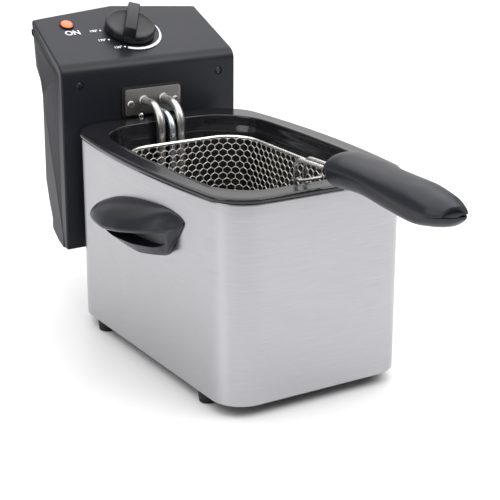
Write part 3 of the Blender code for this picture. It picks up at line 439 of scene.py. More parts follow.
def fine_stations(stations, count):
    """Stations given as rows led by their position, made dense and smooth."""
    table = np.array(sorted(stations, key=lambda row: row[0]), float)
    knots = table[:, 0]
    eased = (1 - np.cos(np.linspace(0, pi, count))) / 2
    spread = 0.5 * eased + 0.5 * np.linspace(0, 1, count)
    at = knots[0] + (knots[-1] - knots[0]) * spread
    columns = [at] + [monotone(knots, table[:, k], at) for k in range(1, table.shape[1])]
    return np.stack(columns, axis=1)


ARC_STEPS = 14
RUN_STEPS = 26


def outline(half, front, back, corner_front, corner_back, bow, end_bow, z):
    """Rounded rectangle from above, in mm, anticlockwise from the front left, swollen by the bows."""
    points = []

    def corner(cx, cy, radius, first):
        for k in range(ARC_STEPS + 1):
            angle = radians(first + 90 * k / ARC_STEPS)
            points.append((cx + radius * cos(angle), cy + radius * sin(angle)))

    def run(x0, y0, x1, y1):
        for k in range(1, RUN_STEPS):
            t = k / RUN_STEPS
            points.append((x0 + (x1 - x0) * t, y0 + (y1 - y0) * t))

    corner(-half + corner_front, front + corner_front, corner_front, 180)
    run(-half + corner_front, front, half - corner_front, front)
    corner(half - corner_front, front + corner_front, corner_front, 270)
    run(half, front + corner_front, half, back - corner_back)
    corner(half - corner_back, back - corner_back, corner_back, 0)
    run(half - corner_back, back, -half + corner_back, back)
    corner(-half + corner_back, back - corner_back, corner_back, 90)
    run(-half, back - corner_back, -half, front + corner_front)
    middle = (front + back) / 2
    reach = (back - front) / 2
    swollen = []
    for x, y in points:
        across = x / half
        along = (y - middle) / reach
        x += across * bow * (1 - along**2)
        y += along * end_bow * (1 - across**2)
        swollen.append((x * MM, y * MM, z * MM))
    return swollen


def wrap_outline(offset, z):
    """The steel wrap's outline at this height, grown by offset. Both are in mm."""
    rise = z / WRAP_HEIGHT
    return outline(
        WRAP_HALF_BOTTOM + (WRAP_HALF_TOP - WRAP_HALF_BOTTOM) * rise + offset,
        WRAP_FRONT - offset,
        WRAP_BACK + offset,
        max(24.5 + offset, 2),
        max(30 + offset, 2),
        WRAP_SIDE_BOW * rise,
        WRAP_END_BOW * rise,
        z,
    )


def flange_outline(offset, z):
    """The wrap's top outline grown by offset, at any height."""
    return [(x, y, z * MM) for x, y, _ in wrap_outline(offset, WRAP_HEIGHT)]


def opening_outline(inset, z):
    """The bowl's opening shrunk by inset, at this height. Both are in mm."""
    return outline(
        66 - inset,
        -109 + inset,
        103 - inset * 0.5,
        max(30 - inset * 0.6, 8),
        max(38 - inset * 0.6, 8),
        5,
        2,
        z,
    )


def wrap_side_x(y, z):
    """Distance in mm from the middle plane to the wrap's side wall."""
    rise = z / WRAP_HEIGHT
    along = (2 * y - WRAP_FRONT - WRAP_BACK) / (WRAP_BACK - WRAP_FRONT)
    half = WRAP_HALF_BOTTOM + (WRAP_HALF_TOP - WRAP_HALF_BOTTOM) * rise
    return half + WRAP_SIDE_BOW * rise * (1 - along**2)


# ---- housing


def build_steel():
    """Brushed wrap with a folded hem below and a dressed edge above."""
    heights = [1.2 + 147.6 * k / 14 for k in range(15)]
    profile = [(-3.0, 0.0), (-1.0, 0.0), (-0.45, 0.12), (-0.12, 0.5)]
    profile += [(0.0, z) for z in heights]
    profile += [(-0.08, 149.6), (-0.25, 149.95), (-0.55, 149.95), (-0.78, 149.6)]
    profile += [(-0.8, z) for z in reversed(heights)]
    profile += [(-1.0, 0.8), (-3.0, 0.8)]
    mesh = loft("steel_wrap", [wrap_outline(o, z) for o, z in profile], close_loop=True)
    make_piece("steel_wrap", mesh, STEEL, "housing", ["steel_body"], angle=50)


def build_feet():
    """Turned rubber feet with a soft edge and a shallow ring underneath."""
    profile = [
        (0, -8.4), (3.4, -8.4), (3.8, -9.0), (5.3, -9.0), (6.0, -8.8), (6.5, -8.2), (6.9, -5.0),
        (7.3, -1.2), (7.4, -0.6), (7.2, -0.3), (0, -0.3),
    ]
    for node in ("foot_front_left", "foot_front_right", "foot_rear_left", "foot_rear_right"):
        low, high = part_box(node)
        place = Matrix.Translation(((low.x + high.x) / 2, (low.y + high.y) / 2, FOOT_HEIGHT))
        foot = turned(node, profile, 40)
        make_piece(f"{node}_rubber", foot, RUBBER, "housing", [node], place)


# Side handle along Y, in mm: top at the wall, height and reach of the hood's edge, reach and height
# of the lower lip, bottom at the wall. The front end wall meets the recess in an upright crease.
HANDLE_CREASE = -55.5
CREASE_ROW = (HANDLE_CREASE, 131.7, 118.4, 5.4, 4.9, 101.0, 105.0)
HANDLE_END = [
    (-70, 127.2, 125.3, 0.9, 0.3, 124.6, 123.4),
    (-66, 129.5, 122.5, 2.6, 1.2, 119.2, 117.6),
    (-61.5, 130.8, 120.3, 4.0, 2.7, 114.0, 112.0),
    CREASE_ROW,
]
HANDLE_HOOD = [
    CREASE_ROW,
    (-50, 132, 117.6, 8.4, 5.2, 98.6, 98.0),
    (-45, 132, 116.6, 11.6, 5.6, 96.6, 95.0),
    (-30, 131, 114, 18.5, 6.3, 92.6, 91.0),
    (-9, 128.6, 110.4, 23.6, 6.8, 89.6, 88.0),
    (8, 126, 107.5, 24.0, 6.8, 89.6, 88.0),
    (28, 121.5, 106, 21.5, 6.2, 92.1, 90.5),
    (46, 115.5, 105, 17.0, 5.2, 95.4, 94.0),
    (58, 110.5, 103.5, 11.5, 3.8, 98.0, 97.0),
    (66, 106.5, 102.5, 4.0, 1.2, 99.6, 99.0),
]
HANDLE_GAP = 0.4


def handle_walls(y, heights):
    """Where the handle's inner face stands on the wrap at these heights, in mm."""
    return [wrap_side_x(y, z) + HANDLE_GAP for z in heights]


def handle_outer(side, station):
    """Outer skin of the handle at one station, from the wall's top round the edge to the wall's bottom."""
    y, top, edge, reach, lip, low, bottom = station
    wall_top, wall_edge, wall_bottom = handle_walls(y, (top, edge, bottom))
    out = wall_edge + reach
    rise = top - edge
    slim = min(1.0, reach / 8)
    points = [(wall_top, top)]
    for t in (0.15, 0.3, 0.45, 0.6, 0.75, 0.88):
        across = wall_top + (out - wall_top) * t
        points.append((across, top - rise * (0.22 * t + 0.70 * t**2.3)))
    under = max(out - 1.4, wall_edge + lip)
    points += [
        (out - 0.35 * slim, edge + 0.1 * slim),
        (out, edge - 0.7 * slim),
        (out - 0.15 * slim, edge - 1.9 * slim),
    ]
    foot_in = wall_bottom + lip
    below = edge - 3.0 * slim
    for t in (0, 0.35, 0.7):
        points.append((under + (foot_in - under) * t, below + (low - below) * t))
    points += [(foot_in, low), (wall_bottom, bottom)]
    return [(side * x * MM, y * MM, z * MM) for x, z in points]


def handle_recess(side, station):
    """Section of the finger space under the hood, down to the lower lip."""
    y, top, edge, reach, lip, _, bottom = station
    wall_top, wall_edge, wall_bottom = handle_walls(y, (top, edge, bottom))
    out = wall_edge + reach
    lip_top = bottom + (edge - bottom) * min(0.52, 0.36 + 0.16 * max(0, (y + 40) / 50))
    points = [
        (wall_top + 3.0, top - 6.0),
        (wall_edge + 0.6 * reach, edge + 0.3 * (top - edge) - 1.6),
        (out - 2.2, edge - 3.2),
        (out + 8, edge - 5.5),
        (out + 8, lip_top - 2),
        (wall_bottom + lip, lip_top),
        (wall_bottom + 3.0, lip_top + 1.5),
    ]
    return [(side * x * MM, y * MM, z * MM) for x, z in points]


def build_handles():
    """Scooped side handles, mirrored left to right."""
    hood = fine_stations(HANDLE_HOOD, 60)
    dense = [*fine_stations(HANDLE_END, 12)[:-1], *hood]
    inner = [row for row in hood if HANDLE_CREASE + 1.2 < row[0] < 50]
    for name, side in (("left", -1), ("right", 1)):
        solid = loft("handle", [handle_outer(side, row) for row in dense])
        hollow = loft("recess", [handle_recess(side, row) for row in inner])
        mesh = bevelled(cut(solid, [hollow]), 0.45 * MM, 2, 50)
        node = f"side_handle_{name}"
        make_piece(f"hood_{name}", mesh, GRIP_PLASTIC, "housing", [node], angle=38)


# ---- bowl


def build_bowl():
    """Enamelled bowl: turned-down lip, flat flange, bead, ledge and dished bottom."""
    outer = [
        (1.5, 151.0), (1.5, 152.6), (1.42, 153.3), (1.1, 153.95), (0.5, 154.4), (-0.3, 154.58), (-2.0, 154.6),
    ]
    inner = [
        (-4.4, 154.6), (-3.2, 154.62), (-2.5, 154.8), (-1.9, 155.02), (-1.3, 155.1), (-0.7, 154.95),
        (-0.25, 154.5), (0.0, 153.7), (0.1, 151.0), (0.4, 147.5), (0.8, 145.9), (1.3, 144.6), (1.8, 143.3),
        (2.2, 141.8), (2.5, 139.0), (3.2, 110.0), (4.1, 75.0), (5.0, 40.0), (5.8, 32.0), (7.0, 25.5),
        (9.0, 20.6), (12.0, 17.2), (15.0, 15.6), (18.5, 15.0),
    ]
    rings = [flange_outline(o, z) for o, z in outer] + [opening_outline(i, z) for i, z in inner]
    mesh = loft("bowl", rings, cap_start=False)
    bm = bmesh.new()
    bm.from_mesh(mesh)
    if sum(face.normal.z * face.calc_area() for face in bm.faces) < 0:
        bmesh.ops.reverse_faces(bm, faces=bm.faces)
    bm.to_mesh(mesh)
    bm.free()
    piece = make_piece("enamel_bowl", mesh, ENAMEL, "bowl", ["oil_bowl"], angle=60)
    wall = piece.modifiers.new("wall", "SOLIDIFY")
    wall.thickness = 1.0 * MM
    wall.offset = -1


# ---- control unit


def round_corners(points, radii, steps=5):
    """Closed polygon with an arc in place of each corner that has a radius."""
    made = []
    count = len(points)
    for index, (corner, radius) in enumerate(zip(points, radii)):
        corner = Vector(corner)
        if radius <= 0:
            made.append(tuple(corner))
            continue
        inward = Vector(points[index - 1]) - corner
        outward = Vector(points[(index + 1) % count]) - corner
        half_turn = inward.angle(outward) / 2
        reach = min(radius / tan(half_turn), 0.48 * inward.length, 0.48 * outward.length)
        radius = reach * tan(half_turn)
        inward.normalize()
        outward.normalize()
        if half_turn > radians(89):
            made.append(tuple(corner))
            continue
        centre = corner + (inward + outward).normalized() * (radius / sin(half_turn))
        start = corner + inward * reach - centre
        end = corner + outward * reach - centre
        sweep = start.angle_signed(end)
        for step in range(steps + 1):
            made.append(tuple(centre + Matrix.Rotation(-sweep * step / steps, 2) @ start))
    return made


def inset_polygon(points, distance):
    """The polygon moved inward by distance, corner by corner."""
    area = sum(a[0] * b[1] - b[0] * a[1] for a, b in zip(points, points[1:] + points[:1]))
    turn = 1 if area > 0 else -1
    made = []
    for before, here, after in zip(points[-1:] + points[:-1], points, points[1:] + points[:1]):
        first = (Vector(here) - Vector(before)).normalized()
        second = (Vector(after) - Vector(here)).normalized()
        normal = Vector((-first.y - second.y, first.x + second.x)) * turn
        if normal.length < 1e-6:
            normal = Vector((-first.y, first.x)) * turn
        normal.normalize()
        side = Vector((-first.y, first.x)) * turn
        made.append(tuple(Vector(here) + normal * (distance / max(0.5, normal.dot(side)))))
    return made


def unit_ring(profile, fraction, shrink=0.0):
    """A side profile at this fraction of the unit's half-width, in mm, drawn in from the side by shrink."""
    ring = []
    for y, z in profile:
        narrower = UNIT_TAPER * max(0, y - UNIT_FRONT) / UNIT_DEPTH
        rise = min(max((y - 150) / 40, 0), 1)  # the back bows from here on
        bow = UNIT_BACK_BOW * (1 - abs(fraction)) * rise * rise * (3 - 2 * rise)
        half = UNIT_HALF - narrower - shrink
        slope = tan(PANEL_SLOPE) if y > 190 and z > 225 else 0  # the panel's rear edge
        ring.append((fraction * half * MM, (y + bow) * MM, (z + bow * slope) * MM))
    return ring


def unit_solid(name, profile, edge):
    """Solid of the unit's side profile across its width, with its side edges rounded."""
    steps = [radians(a) for a in (0, 18, 36, 54, 72, 90)]
    rings = []
    for angle in steps:
        drawn = inset_polygon(profile, edge * (1 - sin(angle)))
        rings.append(unit_ring(drawn, -1, edge * (1 - cos(angle))))
    for tenth in range(-9, 10):
        rings.append(unit_ring(profile, tenth / 10))
    for angle in reversed(steps):
        drawn = inset_polygon(profile, edge * (1 - sin(angle)))
        rings.append(unit_ring(drawn, 1, edge * (1 - cos(angle))))
    return loft(name, rings)


def build_covers():
    """Front and rear covers with their seam, and the recessed cover screws."""
    front = [
        (UNIT_FRONT, 47.6), (UNIT_FRONT, 200.9), (193.9, 231.2), (196.4, 230.0), (196.3, 226.8),
        (195.0, 220.8), (141.0, 195.7), (138.4, 193.0), (138.4, 47.8),
    ]
    front = round_corners(front, [1.2, 11, 2.2, 1.6, 0.6, 0, 2, 2, 0.6], 8)
    mesh = unit_solid("front_cover", front, 1.6)
    across, height = COVER_SCREW
    sinks = []
    for x in (-across, across):
        sink = turned("sink", [(0, -3), (3.5, -3), (3.5, 1.3), (0, 1.3)], 40)
        sinks.append(moved(sink, facing_front(x, UNIT_FRONT, height)))
    mesh = bevelled(cut(mesh, sinks), 0.2 * MM, 2, 60)
    make_piece(
        "front_cover", mesh, BOX_PLASTIC, "control_unit", ["control_front_cover"],
        angle=32, weighted=True,
    )

    rear = [
        (196.1, 226.3), (194.9, 220.4), (140.9, 195.2), (138.8, 192.9), (138.8, 47.2), (142.0, 46.5),
        (152.0, 49.0), (166.0, 57.0), (166.0, 67.0), (172.5, 81.0), (178.0, 98.0), (178.0, 172.0),
        (182.5, 183.0), (191.0, 192.0),
    ]
    rear = round_corners(rear, [0.6, 0, 2, 2, 0.6, 1.5, 4, 4, 3, 8, 8, 8, 6, 4], 6)
    mesh = unit_solid("rear_cover", rear, 2.2)
    make_piece(
        "rear_cover", mesh, BOX_PLASTIC, "control_unit", ["control_rear_cover"],
        angle=32, weighted=True,
    )


def phillips_head(name, radius, height, material, place, replaces):
    """Pan-head screw of the control unit, with a cross recess. Local +Z runs into the work."""
    profile = [
        (0, -height), (radius * 0.55, -height * 0.96), (radius * 0.85, -height * 0.72),
        (radius, -height * 0.3), (radius, 0.0), (0, 0.0),
    ]
    head = turned(name, profile, 40)
    blade = radius * 0.68 * MM
    slot_half = radius * 0.20 * MM
    above = -height * MM - 0.4 * MM
    floor = -height * MM + height * 0.85 * MM
    first = box("bar_a", (-blade, -slot_half, above), (blade, slot_half, floor))
    second = box("bar_b", (-slot_half, -blade, above), (slot_half, blade, floor))
    cross = moved(cut(first, [second], "UNION"), Matrix.Rotation(radians(28), 4, "Z"))
    head = cut(head, [cross])
    make_piece(name, head, material, "control_unit", [replaces], SHIFT @ place, 30)


def build_plate():
    """Element plate on its gasket, with its screws and the tubes' collars."""
    slab = rounded_slab("plate", 26, 156.3, 178.3, PLATE_FRONT, PLATE_FRONT + 1.6, 2.0, 0.35)
    slab = cut(slab, [pin_notch()])
    make_piece("steel_plate", slab, PLATE_STEEL, "control_unit", ["element_plate"], angle=30)
    seal = cut(rounded_slab("seal", 28, 154.3, 180.3, 129.9, 131.1, 2.6, 0.3), [pin_notch()])
    make_piece("plate_seal", seal, RUBBER, "control_unit", ["plate_gasket"], angle=30)
    ring = [(3.62, 0), (3.62, -2.6), (4.0, -2.6), (4.4, -2.2), (4.7, -0.9), (4.7, 0)]
    for name, side in (("left", -1), ("right", 1)):
        across, height = PLATE_SCREW
        place = facing_front(side * across, PLATE_FRONT, height)
        phillips_head(f"plate_screw_head_{name}", 3.2, 1.6, TUBE_STEEL, place, f"plate_screw_{name}")
        # The cover screw heads take the darkened steel, whose dark colour is painted shade for their sinks.
        across, height = COVER_SCREW
        place = facing_front(side * across, UNIT_FRONT + 1.1, height)
        phillips_head(f"cover_screw_head_{name}", 2.9, 0.8, SHADED_SCREW_STEEL, place, f"cover_screw_{name}")
        across, height = TUBE_PLACE
        place = SHIFT @ facing_front(side * across, PLATE_FRONT - 0.1, height)
        collar = ring_of_revolution("collar", ring)
        node = f"tube_collar_{name}"
        make_piece(f"collar_{name}", collar, TUBE_STEEL, "control_unit", [node], place)


def pin_notch():
    """Clearance round the interlock pin."""
    clearance = turned("notch", [(0, -6), (3.1, -6), (3.1, 6), (0, 6)], 32)
    across, height = PIN_PLACE
    return moved(clearance, facing_front(across, 130, height))


def rounded_slab(name, half, low, high, near, far, corner, edge):
    """Flat rectangular plate facing the front, with rounded corners and softened edges."""
    outer = round_corners([(-half, low), (half, low), (half, high), (-half, high)], [corner] * 4, 6)
    rings = []
    layers = [
        (near, edge), (near + edge * 0.3, edge * 0.3), (near + edge, 0), (far - edge, 0), (far, edge * 0.6),
    ]
    for y, inset in layers:
        rings.append([(x * MM, y * MM, z * MM) for x, z in inset_polygon(outer, inset)])
    return loft(name, rings)


def mirrored(path):
    """The path on the other side of the middle plane, run backwards."""
    return [Vector((-point.x, point.y, point.z)) for point in reversed(path)]


def build_element():
    """Heater tube over the rim and round the bowl's bottom, with the thermostat's sensor beside it."""
    across, height = TUBE_PLACE
    low, wide, front = 30, 38, -62  # height, half-width and front end of the loop over the bowl's bottom
    leg = [
        (across, 150, height), (across, 97.5, height), (across, 97.5, low), (across, 62, low),
        (wide, 44, low), (wide, front, low),
    ]
    right = rounded_path(in_mm(leg), [17 * MM, 17 * MM, 12 * MM, 12 * MM], 14)
    angles = [pi * k / 24 for k in range(1, 24)]
    turn = in_mm([(wide * cos(a), front - wide * 0.55 * sin(a), low) for a in angles])
    loop = tube("heater", right + turn + mirrored(right), 3.6 * MM, 24)
    nodes = ["heating_element"]
    make_piece("heater_tube", loop, TUBE_STEEL, "control_unit", nodes, angle=60)
    path = rounded_path(in_mm([(1, 148, 160), (1, 97, 160), (1, 97, 45)]), 14 * MM, 14)
    mesh = tube("sensor", path, 3.1 * MM, 24)
    make_piece("sensor_probe", mesh, SENSOR_STEEL, "control_unit", ["sensor_tube"], angle=60)


def build_pin():
    """Rounded nose of the interlock pin."""
    radius = 2.6
    angles = [radians(a) for a in range(0, 91, 15)]
    nose = [(radius * sin(a), -0.8 - radius * cos(a)) for a in angles]
    pin = turned("pin", nose + [(radius, 1.5), (1.6, 1.6), (1.6, 14), (0, 14)], 32)
    across, height = PIN_PLACE
    place = SHIFT @ facing_front(across, 131.0, height)
    make_piece("pin_nose", pin, CHROME, "interlock", ["interlock_pin"], place)


def build_knob():
    """Thermostat knob: low disc, raised rim and grip bar, pointing at the lowest mark."""
    disc = turned("knob_disc", [
        (0, 0.5), (21.2, 0.5), (21.6, 0.9), (21.6, 6.2), (21.3, 7.0), (20.7, 7.6), (19.9, 7.8),
        (19.2, 7.6), (18.4, 7.2), (14, 6.8), (0, 6.6),
    ], 96)
    bar_rings = []
    # Height, half-width, reach of the pointer and of the tail, and the pointer's fall.
    layers = [(2, 5.6, 21.3, 21.3, 0), (8, 5.6, 21.2, 20.6, 0), (16.6, 4.9, 20.8, 19.2, 1)]
    for z, half, near, far, fall in layers:
        corners = [(-far, -half, z), (near, -half, z - fall), (near, half, z - fall), (-far, half, z)]
        bar_rings.append(in_mm(corners))
    bar = bevelled(loft("knob_bar", bar_rings), 0.7 * MM, 3, 40)
    bar.transform(Matrix.Rotation(radians(240), 4, "Z"))
    mesh = joined("knob", [disc, bar])
    make_piece("dial_knob", mesh, KNOB_PLASTIC, "knob", ["control_knob"], PANEL, 35)


INK = 0.05
DOT_CIRCLE = 26
MARKS = [("150°", 236), ("170°", 202), ("190°", 171)]  # figure and its angle round the dial


def build_marks():
    """Printed arc, dots, numbers and the word beside the lamp."""
    outer, steps = 27.5, 64
    first, last = radians(242), radians(375)
    rows = []
    for k in range(steps + 1):
        t = k / steps
        angle = first + (last - first) * t
        inner = outer - 2.9 * (1 - 0.75 * max(0, t - 0.45) / 0.55)
        rows.append([
            (r * MM * cos(angle), r * MM * sin(angle), z * MM)
            for r, z in ((outer, -INK), (outer, INK), (inner, INK), (inner, -INK))
        ])
    meshes = [loft("arc", rows)]
    for text, degrees in MARKS:
        x = DOT_CIRCLE * cos(radians(degrees))
        y = DOT_CIRCLE * sin(radians(degrees))
        dot = turned("dot", [(0, -INK), (0.95, -INK), (0.95, INK), (0, INK)], 24)
        meshes.append(moved(dot, Matrix.Translation((x * MM, y * MM, 0))))
        meshes.append(lettering(text, 4.1, x - 2.2, y, "RIGHT"))
    meshes.append(lettering("ON", 8.6, -50.9, 4.3, "CENTER"))
    make_piece("panel_marks", joined("panel_marks", meshes), PRINT, "control_unit", (), PANEL, 30)


def lettering(text, size, x, y, align):
    """Generic lettering as thin raised ink."""
    curve = bpy.data.curves.new("lettering", "FONT")
    curve.body = text
    curve.size = size * MM
    curve.align_x = align
    curve.align_y = "CENTER"
    curve.extrude = INK * MM
    curve.offset = size * MM * 0.02
    return moved(take_mesh(add_object("lettering", curve)), Matrix.Translation((x * MM, y * MM, 0)))


def build_lamp():
    """Domed lens in a thin bezel."""
    place = PANEL @ Matrix.Translation((-51.4 * MM, 16.1 * MM, 0))
    radius = 5.2
    angles = [radians(a) for a in range(0, 91, 9)]
    dome = [(radius * cos(a), 0.9 + 2.0 * sin(a)) for a in angles]
    lens = turned("lens", [(0, 0.1), (radius, 0.1), *dome], 48)
    make_piece("lamp_dome", lens, LAMP_GLOW, "control_unit", ["indicator_lens"], place, 50)
    ring = [(5.3, 0.05), (6.2, 0.05), (6.2, 0.7), (5.9, 1.1), (5.5, 1.1), (5.3, 0.8)]
    bezel = ring_of_revolution("bezel", ring)
    make_piece("lamp_bezel", bezel, KNOB_PLASTIC, "control_unit", (), place, 35)


# ---- basket


def basket_outline(inset, z):
    """The rim wire's outline shrunk by inset, at this height. Both are in mm."""
    corner = 28 - inset * 0.5
    return outline(57 - inset, -99 + inset, 82 - inset, corner, corner, 0, 0, z)


# Basket wall from the rim to the floor, in mm: inset from the rim wire, and height.
BASKET_WALL = [
    (0.9, 140.5), (1.6, 122.0), (2.9, 90.0), (4.6, 60.0), (6.3, 41.0), (8.0, 36.0), (10.0, 34.8),
    (12.5, 34.6),
]


def wall_lookup():
    """Rings of the basket wall, evenly spaced down its height and round its girth."""
    depths = [0.0]
    for (a, za), (b, zb) in zip(BASKET_WALL, BASKET_WALL[1:]):
        depths.append(depths[-1] + hypot(a - b, za - zb))
    across, down = 240, 60
    levels = np.linspace(0, depths[-1], down)
    insets = np.interp(levels, depths, [row[0] for row in BASKET_WALL])
    heights = np.interp(levels, depths, [row[1] for row in BASKET_WALL])
    rings = []
    for inset, z in zip(insets, heights):
        ring = np.array(basket_outline(inset, z))
        closed = np.vstack([ring, ring[:1]])
        run = np.concatenate([[0], np.cumsum(np.linalg.norm(np.diff(closed, axis=0), axis=1))])
        at = np.linspace(0, run[-1], across + 1)
        rings.append(np.stack([np.interp(at, run, closed[:, k]) for k in range(3)], axis=1))
    return np.array(rings)


def prisms(name, links):
    """Straight wire links, each (start, end, radius), as one mesh of six-sided prisms with narrowed ends."""
    sides = 6
    starts = np.array([link[0] for link in links])
    ends = np.array([link[1] for link in links])
    radii = np.array([link[2] for link in links])[:, None]
    along = ends - starts
    along /= np.linalg.norm(along, axis=1)[:, None]
    helper = np.where(np.abs(along[:, 2:3]) < 0.9, np.array([[0.0, 0, 1]]), np.array([[1.0, 0, 0]]))
    side = np.cross(along, helper)
    side /= np.linalg.norm(side, axis=1)[:, None]
    other = np.cross(along, side)
    overrun = along * radii * 0.6
    starts = starts - overrun
    ends = ends + overrun
    rows = []
    for base, scale in ((starts, 0.55), (starts + overrun, 1.0), (ends - overrun, 1.0), (ends, 0.55)):
        for k in range(sides):
            angle = 2 * pi * k / sides
            rows.append(base + (side * cos(angle) + other * sin(angle)) * radii * scale)
    rings = 4
    points = np.stack(rows, axis=1).reshape(-1, 3)
    faces = []
    per = rings * sides
    for index in range(len(links)):
        base = index * per
        for ring in range(rings - 1):
            for k in range(sides):
                j = (k + 1) % sides
                low = base + ring * sides
                faces.append((low + k, low + j, low + sides + j, low + sides + k))
        faces.append(tuple(base + k for k in reversed(range(sides))))
        faces.append(tuple(base + (rings - 1) * sides + k for k in range(sides)))
    mesh = bpy.data.meshes.new(name)
    mesh.from_pydata([tuple(p) for p in points], [], faces)
    return mesh


def build_netting():
    """Hexagonal wire netting: zigzag wires round the basket, twisted together in short upright links."""
    rings = wall_lookup()
    columns, rows = 74, 22
    zig, twist = 0.34 * MM, 0.44 * MM  # radius of one wire, and of two twisted together
    levels, around = rings.shape[0] - 1, rings.shape[1] - 1

    def on_wall(column, level):
        s = (column / columns % 1.0) * around
        h = min(max(level, 0), 1) * levels
        i, j = min(int(h), levels - 1), min(int(s), around - 1)
        u, v = h - i, s - j
        return (
            rings[i, j] * (1 - u) * (1 - v)
            + rings[i + 1, j] * u * (1 - v)
            + rings[i, j + 1] * (1 - u) * v
            + rings[i + 1, j + 1] * u * v
        )

    links = []
    step = 1 / rows
    rise = 0.20 * step
    for row in range(rows + 1):
        offset = 0.5 * (row % 2)
        level = row * step
        for column in range(columns):
            low = on_wall(column + offset, level + rise)
            high = on_wall(column + offset + 0.5, level - rise)
            after = on_wall(column + offset + 1, level + rise)
            links += [(low, high, zig), (high, after, zig)]
            if row < rows:
                below = on_wall(column + offset, level + step - rise)
                links.append((low, below, twist))
    half, front, back, corner = 44.5 * MM, -86.5 * MM, 69.5 * MM, 21.7 * MM  # the floor's outline
    pitch, drop, floor_z = 7.0 * MM, 5.2 * MM, 34.5 * MM

    def on_floor(x, y):
        dx = max(abs(x) - (half - corner), 0)
        dy = max(y - (back - corner), (front + corner) - y, 0)
        return hypot(dx, dy) <= corner

    def floor_link(a, b, radius):
        if on_floor(*a) and on_floor(*b):
            links.append((np.array((*a, floor_z)), np.array((*b, floor_z)), radius))

    lines = int((back - front) / drop) + 2
    for row in range(lines):
        y = front + row * drop
        offset = 0.5 * (row % 2)
        for column in range(-8, 8):
            x = (column + offset) * pitch
            low = (x, y + 0.2 * drop)
            high = (x + pitch / 2, y - 0.2 * drop)
            after = (x + pitch, y + 0.2 * drop)
            floor_link(low, high, zig)
            floor_link(high, after, zig)
            floor_link(low, (x, y + 0.8 * drop), twist)
    mesh = prisms("netting", links)
    make_piece("wire_netting", mesh, NETTING, "basket", ["basket_mesh"], angle=80)


PIVOT_Y = -92.5
PIVOT_Z = 138


def build_basket_wires():
    """Rim wire, front hook, pivot bracket and the folding handle's wire."""
    rim = tube("rim", basket_outline(0, 141), 1.6 * MM, 16, cyclic=True)
    make_piece("rim_wire", rim, CHROME, "basket", ["basket_rim_wire"], angle=60)

    half, near, far, foot, lift = 9.5, -102.1, -109, 135, 156.3
    corners = [
        (-half, near, foot), (-half, near, lift), (-half, far, lift),
        (half, far, lift), (half, near, lift), (half, near, foot),
    ]
    path = rounded_path(in_mm(corners), 3 * MM, 8)
    hook = tube("hook", path, 1.2 * MM, 16)
    make_piece("flange_hook", hook, PLATE_STEEL, "basket", ["basket_hook"], angle=60)

    plate = box("plate", (-9 * MM, -95.7 * MM, 122 * MM), (9 * MM, -94.7 * MM, 143.5 * MM))
    ring = [(1.85, -2.1), (1.85, 2.1), (2.7, 2.1), (2.9, 1.9), (2.9, -1.9), (2.7, -2.1)]
    place = Matrix.Translation((0, PIVOT_Y * MM, PIVOT_Z * MM)) @ Matrix.Rotation(radians(90), 4, "Y")
    sleeve = moved(ring_of_revolution("sleeve", ring, 32), place)
    mesh = joined("bracket", [bevelled(plate, 0.3 * MM, 2), sleeve])
    make_piece("pivot_bracket", mesh, PLATE_STEEL, "basket", ["handle_bracket"], angle=35)

    corners = [(4, PIVOT_Y, PIVOT_Z), (4, -94, 168.5), (4, -165, 170.5)]
    right = rounded_path(in_mm(corners), 9 * MM, 12)
    axle = in_mm([(-3.545, PIVOT_Y, PIVOT_Z), (3.545, PIVOT_Y, PIVOT_Z)])
    wire = tube("handle_wire", mirrored(right) + axle + right, 1.5 * MM, 16)
    make_piece("fold_wire", wire, CHROME, "basket_handle", ["handle_wire"], angle=60)


# Basket grip along Y, in mm: half-width, top, bottom and the height of the parting line.
GRIP_STATIONS = [
    (-136, 8.6, 176.5, 163.2, 169.8),
    (-138, 11.2, 178.8, 161.0, 171.0),
    (-142, 13.8, 181.4, 159.8, 172.4),
    (-149, 16.6, 185.2, 159.8, 173.8),
    (-160, 16.8, 186.2, 160.6, 175.0),
    (-175, 16.4, 186.2, 161.4, 175.4),
    (-205, 16.2, 185.0, 158.6, 172.6),
    (-232, 17.0, 184.6, 157.0, 169.5),
    (-252, 15.8, 181.4, 160.0, 169.3),
    (-264, 10.8, 178.0, 163.4, 170.3),
    (-270, 6.4, 175.8, 167.0, 171.0),
    (-273.5, 2.6, 174.2, 170.0, 172.0),
]


def grip_half(station, upper, count=24):
    """Half section of the grip above or below the parting line. The lower shell is set back a little."""
    y, half, top, bottom, part = station
    scale = min(1, half / 12)
    split = part + 0.1 if upper else part - 0.45 * scale
    height = top - split if upper else bottom - split
    wide = half if upper else half - 1.5 * scale
    squareness = 0.86 if upper else 0.95
    ring = []
    for k in range(count + 1):
        angle = pi * k / count
        across = copysign(abs(cos(angle)) ** squareness, cos(angle))
        ring.append((wide * across * MM, y * MM, (split + height * sin(angle)) * MM))
    return ring


def build_grip():
    """Two shells that meet in a fine groove, with a flat at the tip and a core behind the groove."""
    dense = fine_stations(GRIP_STATIONS, 90)
    tip_flat = box("tip_flat", (-0.03, -0.03, -0.02), (0.03, 0, 0.02))
    tilt = Matrix.Rotation(radians(14), 4, "X") @ Matrix.Rotation(radians(-10), 4, "Z")
    tip_flat.transform(Matrix.Translation((0, -266.5 * MM, 175 * MM)) @ tilt)
    for name, upper in (("upper", True), ("lower", False)):
        mesh = loft("grip", [grip_half(row, upper) for row in dense])
        if upper:
            mesh = cut(mesh, [tip_flat])
        mesh = bevelled(mesh, 0.5 * MM if upper else 0.3 * MM, 3, 40)
        shell = f"grip_shell_{name}"
        make_piece(shell, mesh, GRIP_PLASTIC, "basket_handle", [f"grip_{name}"], angle=45)
    rings = []
    for row in dense:
        if -272 < row[0] < -140:
            part = row[4] * MM
            whole = grip_half(row, False) + grip_half(row, True)
            rings.append([(x * 0.8, y, part + (z - part) * 0.4) for x, y, z in whole])
    make_piece("grip_core", loft("core", rings), SEAT_PLASTIC, "basket_handle", (), angle=60)


